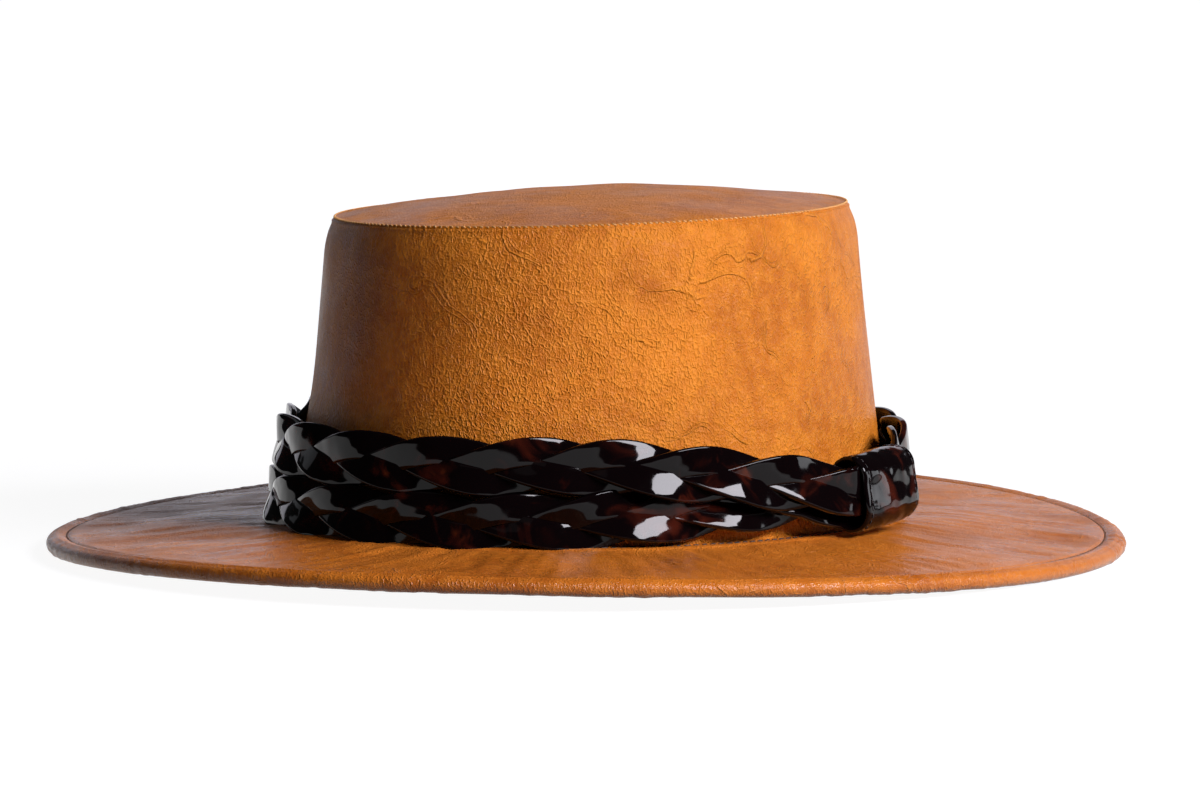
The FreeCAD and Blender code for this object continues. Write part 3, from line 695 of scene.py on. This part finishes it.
def makeBrimTop():
    # One section, out along the face, round the wire, back underneath and home inside, carried round
    # the oval; dents, streaks and puckers then move it along its normals.
    reach, radius, hollow = hat["edgeReach"], hat["edgeRadius"], hat["edgeRadius"] - hat["leather"]
    tilt = brim["tilt"]
    flat = np.concatenate([np.linspace(0.05, 7, 15, endpoint=False), np.linspace(7, 62, 36, endpoint=False),
                           np.linspace(62, reach, 22, endpoint=False)])
    top = brimFace(flat) + topDressing(flat)
    turn = np.linspace(np.pi / 2 - tilt, -np.pi / 2 - 0.45, 20)
    rollOffset = reach + radius * np.cos(turn)
    rollLevel = hat["edgeLevel"] + radius * np.sin(turn)
    turnEnd = reach - brim["turnUnder"]
    back = np.linspace(reach - radius - 0.4, turnEnd, 5)
    backLevel = brimFace(back, brim["turnDepth"])
    inner = np.linspace(-np.pi * 0.75, np.pi / 2 - tilt, 8)
    innerOffset = reach + hollow * np.cos(inner)
    innerLevel = hat["edgeLevel"] + hollow * np.sin(inner)
    home = np.linspace(reach - 2, 0.05, 4)
    offset = np.concatenate([flat, rollOffset, back, [turnEnd], innerOffset, home])
    level = np.concatenate([top, rollLevel, backLevel, [backLevel[-1] + hat["leather"]], innerLevel,
                            brimFace(home, hat["leather"])])
    angle = evenAngles(brim["around"])
    grid = carryRound(offset, level, brim["around"], brimLift)
    normals = gridNormals(grid, True, True)
    normals *= np.sign(normals[40, :, 2].sum())
    faceCount, rollCount = len(flat), len(turn)
    mask = np.zeros(len(offset))
    mask[:faceCount] = smooth((flat - 3) / 8) * smooth((hat["brimWidth"] - 7 - flat) / 6)
    grid = wrinkle(grid, normals, brim["dent"], brim["crease"], mask[:, None])
    # the streaks vary fast round the brim and slowly outwards
    fan = np.stack(np.broadcast_arrays(130 * np.cos(angle)[None], 130 * np.sin(angle)[None],
                                       0.22 * offset[:, None]), -1)
    streaks = brim["streak"] * waveField(fan, makeWaves(24, 44, 4.8, 24.0))
    grid = grid + normals * (mask[:, None] * streaks)[..., None]
    edge = np.zeros(len(offset))
    edge[:faceCount] = smooth((flat - hat["brimWidth"] + 6.4) / 1.5)
    edge[faceCount:faceCount + rollCount] = 1
    edge[faceCount + rollCount:faceCount + rollCount + 5] = np.linspace(0.8, 0, 5)
    rimPoints = onOval(angle, hat["brimWidth"], 0.0)
    gather = waveField(rimPoints, makeWaves(21, 24, 2.8, 8.0)) * smooth(
        waveField(rimPoints, makeWaves(22, 10, 25.0, 80.0)) * 0.6 + 0.7)
    push = brim["pucker"] * 0.4 * edge[:, None] * gather[None, :]
    push += 0.06 * edge[:, None] * waveField(rimPoints, makeWaves(23, 12, 30.0, 140.0))[None, :]
    grid = grid + normals * push[..., None]
    # what would hang below the plane that the edge rests on is pressed up to it
    grid[..., 2] = np.maximum(grid[..., 2], 0.02)
    addPiece("brimTop", grid, "hat", brimShadedLeather, ["brim_top"])


makeBrimTop()
boardEnd = hat["edgeReach"] - brim["wireRadius"] - 0.15
brimRing("brimBoard", "brim_board", *flatLoop(0.05, boardEnd, *brim["board"]), "buckram", buckramCloth)
brimRing("brimUnderside", "brim_underside", *flatLoop(0.05, boardEnd, *brim["under"]), "under_leather",
         underLeather, 720)
steelWire = makeSpeckle("springSteel", 0.3, 900.0, (0.32, 0.32, 0.33, 1), (0.62, 0.62, 0.63, 1), 1.0)
brimRing("brimWire", "brim_wire", *roundLoop(hat["edgeReach"], hat["edgeLevel"], brim["wireRadius"]),
         "spring_steel", steelWire, 300)
brimRing("brimJoinTape", "brim_join_tape", *flatLoop(*brim["tapeSpan"], *brim["tape"], 14), "cotton_tape",
         tapeCloth)
print("brim done")


def stitchRow(name, nodes, line, normals, look, material, body="hat"):
    # Each stitch is a small bent capsule laid along the closed line: a round section that narrows at
    # both ends by a root of one less a sixth power, and dips into the leather by a fourth power.
    loop, up = np.vstack([line, line[:1]]), np.vstack([normals, normals[:1]])
    length = runLength(loop)
    count = int(round(length[-1] / look["pitch"]))
    draw = np.random.default_rng(look["seed"])
    starts = (np.arange(count) + 0.5) * length[-1] / count
    part = np.linspace(-1, 1, 9)
    size = look["length"] * (1 + 0.12 * draw.normal(size=count))
    where = (starts[:, None] + part[None, :] * size[:, None] / 2) % length[-1]
    spine = np.stack([np.interp(where, length, loop[:, axis]) for axis in range(3)], -1)
    normal = unit(np.stack([np.interp(where, length, up[:, axis]) for axis in range(3)], -1))
    side = np.cross(unit(np.gradient(spine, axis=1)), normal)
    slant = look["slant"] * part[None, :, None] * size[:, None, None] / 2
    spine = spine + side * slant - normal * (look["sink"] * part[None, :, None] ** 4)
    radius = look["radius"] * np.sqrt(np.clip(1 - part ** 6, 0, 1))
    turn = np.linspace(0, 2 * np.pi, 8, endpoint=False)
    ring = (np.cos(turn)[None, None, :, None] * side[:, :, None, :]
            + np.sin(turn)[None, None, :, None] * normal[:, :, None, :] * look["flat"])
    points = spine[:, :, None, :] + ring * radius[None, :, None, None]
    rows, columns = len(part), len(turn)
    base = np.arange(rows * columns).reshape(rows, columns)
    quads = cellCorners(np.hstack([base, base[:, :1]]), backwards=True)
    faces = (quads[None] + (np.arange(count) * rows * columns)[:, None, None]).reshape(-1, 4)
    across = np.linspace(0, 2 * np.pi * look["radius"], columns + 1) * mm
    runs = (part + 1) / 2 * look["length"] * mm
    uv = np.stack(np.broadcast_arrays(runs[:, None], across[None, :]), -1)
    faceUv = np.tile(cellCorners(uv, backwards=True), (count, 1, 1))
    mesh = meshOf(name, points.reshape(-1, 3) * mm, faces, faceUv)
    finishPiece(name, mesh, body, material, nodes, True)


def stitchLine(offset, level, lean, count=1400):
    # A line round the oval and its normals, which lean out of the upright by an angle.
    angle = evenAngles(count)
    _, out = ovalFrame(angle)
    up = np.concatenate([out * math.sin(lean), np.full((count, 1), math.cos(lean))], -1)
    return onOval(angle, offset, level), up


def brimStitches(name, node, offset, level, look, material, way=1, count=1400):
    # A row at one offset, lifted with the brim's wave; way is -1 on the underside.
    line, up = stitchLine(offset, level, 0.1, count)
    line[:, 2] += brimLift(evenAngles(count), np.full(count, offset))
    stitchRow(name, [node], line, way * up, look, material)


stitch = {"pitch": 3.1, "length": 2.4, "radius": 0.27, "flat": 0.8, "sink": 0.3, "slant": 0.0}
line, up = stitchLine(-crown["tipIn"] + 0.1, hat["seam"] + 0.42, 0.7)
stitchRow("tipSeamStitches", ["tip_seam_thread"], tiltCrown(line), up, dict(
    stitch, pitch=1.9, length=1.2, flat=0.9, sink=0.25, slant=0.4, seed=31), tanThread)
brimStitches("brimSeamStitches", "brim_seam_thread", brim["seamRow"],
             brimFace(brim["seamRow"]) + brim["ridge"] - 0.12, dict(stitch, pitch=2.9, radius=0.33, seed=32),
             darkThread)
brimStitches("brimEdgeStitches", "brim_edge_thread", brim["grooveAt"],
             brimFace(brim["grooveAt"]) - brim["grooveDeep"] + 0.12, dict(stitch, sink=0.35, seed=33),
             brownThread, 1, 2400)
brimStitches("brimTurnStitches", "brim_turn_thread", brim["grooveAt"],
             brimFace(brim["grooveAt"], brim["turnDepth"]) - 0.08,
             dict(stitch, length=2.3, radius=0.24, seed=34), brownThread, -1, 2400)

sweat = {"height": 32.0, "thick": 1.2, "depth": 2.7, "bottom": -3.0, "clear": 0.15}
rise = np.concatenate([[sweat["bottom"]], np.linspace(0, sweat["height"], 20)])
faceIn = wallOffset(np.clip(rise, 0, None)) - sweat["depth"] - sweat["clear"]
edgeTurn = np.linspace(0, np.pi, 7)[1:-1]
rimOffset = faceIn[-1] - sweat["thick"] / 2 + sweat["thick"] / 2 * np.cos(edgeTurn)
rimLevel = sweat["height"] + sweat["thick"] / 2 * np.sin(edgeTurn)
offset = np.concatenate([faceIn, rimOffset, faceIn[::-1] - sweat["thick"]])
level = np.concatenate([rise, rimLevel, rise[::-1]]) + hat["base"]
grid = carryRound(offset, level, 480)
addPiece("sweatband", grid, "hat", sweatLeather, ["sweatband"])
sweatFoot = -sweat["depth"] - sweat["clear"] - sweat["thick"] - 0.1
line, _ = stitchLine(sweatFoot, hat["base"] - 0.4, 0.0)
_, out = ovalFrame(evenAngles(len(line)))
inward = np.concatenate([-out, np.zeros((len(out), 1))], -1)
stitchRow("sweatbandStitches", ["sweatband_thread"], line, inward, dict(
    stitch, pitch=3.4, length=2.5, radius=0.25, seed=35), tanThread)
print("stitching and sweatband done")

plait = {
    "strapWide": 8.6, "strapThick": 1.9, "swing": 4.5,
    "weave": {2: 1.4, 4: -0.12},                # out and in, by harmonic
    "roll": {1: 0.23},                          # turn of the strap's face, by harmonic
    "clear": 0.3, "rowDeep": 5.8, "loose": (2.0, 0.7),
    "levels": {"lower": 7.7, "upper": 24.1},
    "pitches": {"lower": 87.0, "upper": 84.0},
    "phases": {"lower": 0.141, "upper": 0.229},
    "edge": 0.6,            # rounding of the strap's edges
    "crown": 0.1,           # its face is slightly domed
    "steps": 620,
    "gap": 2.3,             # between a strap's end and the splice's middle
}
sleeve = {
    "middle": 13.3, "stand": 13.6, "long": 30.0, "half": (6.7, 11.3), "wall": 1.5, "corner": 6.5,
    "tilt": 3.2, "near": 15.0, "beside": 2.6, "above": 1.85,
    "from": 110.0,          # the rows draw together from this far along the band
    "together": 31.0,       # and lie close from here
    "quicker": 1.6,         # behind the sleeve they do so over a shorter length
    "stepOver": 50.0,       # the upper one steps out over this length
    "reach": {"lower": 0.4, "upper": 5.4},
    "bend": 1.7, "sag": 3.4,
    "swell": 0.35, "stitchDip": 0.25, "stitchIn": 2.2, "buckle": 0.09,
}
leanAngle = math.atan(crown["lean"] * 0.95)


def rowPlace(row, along):
    # Offset and height of a row: on the wall, the upper one stepping out past the lower, then both
    # drawing together, by a power of the share of the way, to lie side by side in the sleeve.
    # Also the row's lean and the share.
    near = np.where(along > 0, along * sleeve["quicker"], -along)
    left = sleeve["from"] - near
    share = np.clip(left / (sleeve["from"] - sleeve["near"]), 0, 1)
    stepped = smooth(left / sleeve["stepOver"])
    across = math.cos(leanAngle)
    climb = math.tan(math.radians(sleeve["tilt"])) * np.clip(along, -25, 25)
    # behind the sleeve the upper row sits lower on the wall, and in front of the lower row's edge
    behind = smooth((along - 20) / 45) * smooth((230 - along) / 80)
    high = plait["levels"]["upper"] - sleeve["sag"] * behind
    apart = high - plait["levels"]["lower"]
    pull = np.clip((left - 5) / (sleeve["from"] - 5 - sleeve["together"]), 0, 1) ** 1.25
    high = high + (sleeve["middle"] + sleeve["above"] * across + climb - high) * share ** sleeve["bend"]
    level = high if row == "upper" else high - apart - (2 * sleeve["above"] - apart) * pull
    offset = wallOffset(np.full_like(along, plait["levels"][row])) + plait["clear"] + plait["rowDeep"] / 2
    offset = offset + sleeve["reach"][row] * stepped * across
    side = 1 if row == "upper" else -1
    offset = offset + (0.45 * sleeve["sag"] * behind if row == "upper" else 0)
    # over the -X half of the front the band hangs a little looser
    loose = smooth((-along - 100) / 40) * smooth((along + 275) / 50)
    offset = offset + plait["loose"][0] * loose
    level = level - plait["loose"][1] * loose
    endOffset = wallOffset(sleeve["middle"]) + sleeve["stand"] + side * sleeve["beside"] * across
    offset = offset + (endOffset - offset) * share ** np.where(along > 0, 5, 3)
    lean = leanAngle + 0.24 * stepped * (1 - share)
    return offset, level, lean, smooth(share * 4 - 3)


def leaningFrame(angle, lean):
    # Oval foot and normal, and the wall's upward and outward ways: both turned by the lean.
    foot, out = ovalFrame(angle)
    flatOut = np.concatenate([out, np.zeros((len(out), 1))], -1)
    upright = np.array([0.0, 0.0, 1.0])
    tipped, stood = np.sin(lean)[:, None], np.cos(lean)[:, None]
    return foot, out, stood * upright - tipped * flatOut, stood * flatOut + tipped * upright


def roundedBox(halfWide, halfHigh, corner, perCorner, perSide):
    # Closed outline of a box: four quarter circles, joined by straight sides.
    pieces = []
    for quarter in range(4):
        turn = np.linspace(0, np.pi / 2, perCorner) + quarter * np.pi / 2
        centre = np.array([(halfWide - corner) * (1 if quarter in (0, 3) else -1),
                           (halfHigh - corner) * (1 if quarter in (0, 1) else -1)])
        pieces.append(centre + corner * np.stack([np.cos(turn), np.sin(turn)], -1))
    share = np.linspace(0, 1, perSide + 2)[1:-1, None]
    outline = []
    for piece, following in zip(pieces, pieces[1:] + pieces[:1]):
        outline += [piece, piece[-1] + (following[0] - piece[-1]) * share]
    return np.concatenate(outline)


def makeStrap(row, number):
    # One strap of three: up the wall by a sine of its run, in and out by a sine of twice that, and a
    # third of a turn behind its neighbour; a rounded flat section is carried along that path.
    angleTable = np.linspace(0, 2 * np.pi, 6001)
    ride = onOval(angleTable, plait["clear"] + plait["rowDeep"] / 2, 0.0)
    length = runLength(ride)
    run = np.linspace(plait["gap"], length[-1] - plait["gap"], plait["steps"])
    angle = np.interp(run, length, angleTable)
    along = np.where(run < length[-1] / 2, run, run - length[-1])
    offset, level, lean, merge = rowPlace(row, along)
    turn = 2 * np.pi * (run / plait["pitches"][row] + number / 3 + plait["phases"][row])
    swing = plait["swing"] * np.sin(turn) * (1 - 0.14 * merge)
    weave = sum(size * np.sin(order * turn) for order, size in plait["weave"].items())
    roll = sum(size * np.cos(order * turn) for order, size in plait["roll"].items())
    weave, roll = weave * (1 - 0.45 * merge), roll * (1 - 0.4 * merge)
    foot, out, up, face = leaningFrame(angle, lean)
    centre = np.concatenate([foot + out * offset[:, None], (hat["base"] + level)[:, None]], -1)
    centre = centre + up * swing[:, None] + face * weave[:, None]
    # the section stands square to the strap's own path
    tangent = unit(np.gradient(centre, axis=0))
    thickWay = face * np.cos(roll)[:, None] - up * np.sin(roll)[:, None]
    thickWay = unit(thickWay - tangent * (thickWay * tangent).sum(1, keepdims=True))
    widthWay = np.cross(thickWay, tangent)
    section = roundedBox(plait["strapWide"] / 2, plait["strapThick"] / 2, plait["edge"], 5, 5)
    bulge = plait["crown"] * (1 - (section[:, 0] * 2 / plait["strapWide"]) ** 2)
    section[:, 1] += bulge * np.sign(section[:, 1])
    grid = (centre[None] + section[:, 0][:, None, None] * widthWay[None]
            + section[:, 1][:, None, None] * thickWay[None])
    # close both ends on their middles
    first, last = (np.repeat(centre[None, [end]], len(section), 0) for end in (0, -1))
    grid = np.concatenate([first, grid, last], 1)
    addPiece(f"{row}Strap{number + 1}", grid, "band", strapPatent,
             [f"{row}_strap_{number + 1}"], wrapColumns=False, weld=True)


for row in plait["levels"]:
    for number in range(3):
        makeStrap(row, number)


def sleeveFrame(run):
    # Place and ways of the sleeve's section at a run along its bend: it follows the oval at +X.
    angle = run / (hat["halfLong"] + 9.0)
    foot, out, up, face = leaningFrame(angle, np.full(len(run), leanAngle))
    offset = wallOffset(sleeve["middle"]) + sleeve["stand"]
    level = hat["base"] + sleeve["middle"] + run * math.tan(math.radians(sleeve["tilt"]))
    centre = np.concatenate([foot + out * offset, level[:, None]], -1)
    return centre, up, face


def makeSleeve():
    # A wall between two rounded boxes, swept along the bend; both rims are rounded over.
    wall, half = sleeve["wall"], sleeve["long"] / 2
    rimTurn = np.linspace(-np.pi / 2, np.pi / 2, 7)
    runsOut = np.linspace(-half + wall / 2, half - wall / 2, 26)
    runs = np.concatenate([runsOut, half - wall / 2 + np.cos(rimTurn)[1:-1] * wall / 2,
                           runsOut[::-1], -half + wall / 2 - np.cos(rimTurn)[1:-1] * wall / 2])
    grow = np.concatenate([np.full(26, 1.0), 0.5 - np.sin(rimTurn)[1:-1] / 2,
                           np.zeros(26), 0.5 + np.sin(rimTurn)[1:-1] / 2])
    outer = roundedBox(sleeve["half"][0], sleeve["half"][1], sleeve["corner"], 14, 8)
    inner = roundedBox(sleeve["half"][0] - wall, sleeve["half"][1] - wall, sleeve["corner"] - wall, 14, 8)
    swell = sleeve["swell"] * np.cos(np.clip(runs / half, -1, 1) * np.pi / 2)
    swell -= sleeve["stitchDip"] * np.exp(-((half - np.abs(runs) - sleeve["stitchIn"]) / 0.5) ** 2)
    centre, up, face = sleeveFrame(runs)
    shape = inner[None] + (outer - inner)[None] * grow[:, None, None]
    spread = unit(shape)
    shape = shape + spread * (swell * (grow > 0.9))[:, None, None]
    grid = (centre[:, None] + shape[..., :1] * face[:, None] + shape[..., 1:] * up[:, None])
    buckle = waveField(grid, makeWaves(41, 12, 8.0, 26.0)) * sleeve["buckle"]
    away = spread[..., :1] * face[:, None] + spread[..., 1:] * up[:, None]
    grid = grid + away * (buckle * (grow > 0.9)[:, None])[..., None]
    addPiece("keeperSleeve", grid, "band", sleevePatent, ["keeper_sleeve"])


def makeSleeveStitches(name, node, run, seed):
    # Stitches round the sleeve's outline at one run along it.
    box = roundedBox(sleeve["half"][0] + 0.1, sleeve["half"][1] + 0.1, sleeve["corner"], 14, 8)
    centre, up, face = sleeveFrame(np.full(len(box), run))
    line = centre + box[:, :1] * face + box[:, 1:] * up
    away = unit(box)
    normals = away[:, :1] * face + away[:, 1:] * up
    look = dict(stitch, pitch=2.2, length=1.6, radius=0.17, sink=0.2, seed=seed)
    stitchRow(name, [node], line, normals, look, darkThread, "band")


makeSleeve()
makeSleeveStitches("keeperStitchesFront", "keeper_thread_front", sleeve["stitchIn"] - sleeve["long"] / 2, 36)
makeSleeveStitches("keeperStitchesBack", "keeper_thread_back", sleeve["long"] / 2 - sleeve["stitchIn"], 37)
print("band done")

# nodes whose own shape is right only get a finish
reedPlastic = makeSpeckle("reedPlastic", 0.45, 700.0, (0.05, 0.03, 0.02, 1), (0.11, 0.07, 0.045, 1))
spliceCloth, tree, principled, place = startMaterial("spliceCloth", 0.8)
weave = useGroup(tree, weaveGroup, Vector=place["Object"], Threads=1200.0)
# the splice's cloth is darker in the weave's low gaps, painted shade
dressShader(tree, principled, mixColor(tree, weave["Shade"], (0.01, 0.008, 0.008, 1), (0.05, 0.04, 0.04, 1)))
for node, material in (("sweatband_reed", reedPlastic), ("band_splice", spliceCloth)):
    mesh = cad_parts[node].data
    mesh.materials.clear()
    mesh.materials.append(material)

studio = {
    "aim": 30.0, "elevation": 6.133, "distance": 3050.5, "roll": -0.58, "lens": 300.42,
    "lookRight": 11.27, "lookUp": 111.6, "focal": 10014.0,
    "floor": 14.0,          # radius of the floor, in metres
}


lamps = {                   # azimuth, elevation, distance, size, power, color
    "keyLamp": (82, 29, 1.7, (1.2, 0.42), 45.0, (1.0, 0.97, 1.05)),
    "backPanel": (212, 12, 2.2, (3.2, 0.9), 8.0, (0.92, 0.9, 1.0)),
    "leftPanel": (262, 18, 2.0, (0.8, 0.6), 0.42, (0.9, 0.93, 1.0)),
    "backRightLamp": (134, 8, 2.0, (0.5, 0.5), 2.8, (0.93, 0.95, 1.0)),
    "frontFillLamp": (10, 50, 2.4, (1.2, 1.2), 0.6, (1.0, 0.98, 0.96)),
}


def wayTo(azimuth, elevation):
    # Unit way out to an azimuth, from the front towards +X, and an elevation.
    a, e = math.radians(azimuth), math.radians(elevation)
    return Vector((math.sin(a) * math.cos(e), -math.cos(a) * math.cos(e), math.sin(e)))


def makeFloor():
    # A disc of rings about the origin: radius grows by the square of the share.
    share = (np.linspace(0, 1, 40) ** 2)[:, None]
    turn = np.linspace(0, 2 * np.pi, 96, endpoint=False)
    grid = np.stack([share * np.cos(turn), share * np.sin(turn), 0 * share * turn], -1)
    index = np.arange(grid.shape[0] * grid.shape[1]).reshape(grid.shape[:2])
    quads = cellCorners(np.hstack([index, index[:, :1]]), backwards=True)
    mesh = meshOf("floor", (grid * studio["floor"]).reshape(-1, 3), quads)
    floor = placeObject("floor", mesh)
    material = bpy.data.materials.new("paleFloor")
    material.use_nodes = True
    tree = material.node_tree
    tree.nodes.clear()
    # seen directly or in a reflection, the floor also glows, a little more towards its far edge
    place = addNode(tree, "ShaderNodeTexCoord").outputs["Object"]
    radius = addNode(tree, "ShaderNodeVectorMath", {0: place}, operation="LENGTH").outputs["Value"]
    diffuse = addNode(tree, "ShaderNodeBsdfDiffuse", {"Color": (0.15, 0.15, 0.155, 1)})
    path = addNode(tree, "ShaderNodeLightPath")
    seen = sumOf(tree, path.outputs["Is Camera Ray"], path.outputs["Is Glossy Ray"], "ADD", True)
    seen = sumOf(tree, seen, path.outputs["Is Transmission Ray"], "ADD", True)
    strength = times(tree, seen, ranged(tree, radius, 0.3, 1.6, 0.93, 1.0))
    glow = addNode(tree, "ShaderNodeEmission", {"Color": (1, 1, 1, 1), "Strength": strength})
    mix = addNode(tree, "ShaderNodeAddShader", {0: diffuse.outputs[0], 1: glow.outputs[0]})
    output = addNode(tree, "ShaderNodeOutputMaterial")
    tree.links.new(mix.outputs[0], output.inputs[0])
    mesh.materials.append(material)


def makeLamp(name, azimuth, elevation, distance, size, power, color):
    # A panel at a distance from the hat's middle, turned to face it.
    data = bpy.data.lights.new(name, "AREA")
    data.shape = "RECTANGLE"
    data.size, data.size_y = size
    data.energy = power
    data.color = color
    lamp = placeObject(name, data)
    target = Vector((0, 0, 0.05))
    lamp.location = target + wayTo(azimuth, elevation) * distance
    lamp.rotation_euler = (target - lamp.location).to_track_quat("-Z", "Y").to_euler()
    lamp.visible_camera = False


def makeWorld():
    # A faint even light from all round.
    world = bpy.data.worlds.new("softRoom")
    bpy.context.scene.world = world
    world.use_nodes = True
    tree = world.node_tree
    background = tree.nodes["Background"]
    background.inputs["Color"].default_value = (0.95, 0.97, 1.0, 1)
    background.inputs["Strength"].default_value = 0.02


def makeCamera():
    # The camera stands at an azimuth and elevation from the crown's foot; its aim is turned a
    # little right and up of it by two slopes over the focal length.
    data = bpy.data.cameras.new("camera")
    data.lens = studio["lens"]
    data.sensor_width = 36.0
    data.clip_end = 50.0
    camera = placeObject("camera", data)
    a, e = math.radians(studio["aim"]), math.radians(studio["elevation"])
    right = Vector((math.cos(a), math.sin(a), 0))
    ahead = Vector((-math.sin(a) * math.cos(e), math.cos(a) * math.cos(e), -math.sin(e)))
    up = right.cross(ahead)
    roll = math.radians(studio["roll"])
    turnedRight = right * math.cos(roll) - up * math.sin(roll)
    turnedUp = right * math.sin(roll) + up * math.cos(roll)
    gaze = ahead + (turnedRight * studio["lookRight"] + turnedUp * studio["lookUp"]) / studio["focal"]
    gaze.normalize()
    side = gaze.cross(turnedUp).normalized()
    top = side.cross(gaze)
    foot = Vector((0, 0, hat["base"] * mm))
    camera.location = foot - ahead * studio["distance"] * mm
    camera.rotation_euler = Matrix((side, top, -gaze)).transposed().to_euler()
    bpy.context.scene.camera = camera


makeFloor()
makeWorld()
for name, values in lamps.items():
    makeLamp(name, *values)
makeCamera()
bpy.context.scene.view_settings.view_transform = "Standard"
print("stage done")
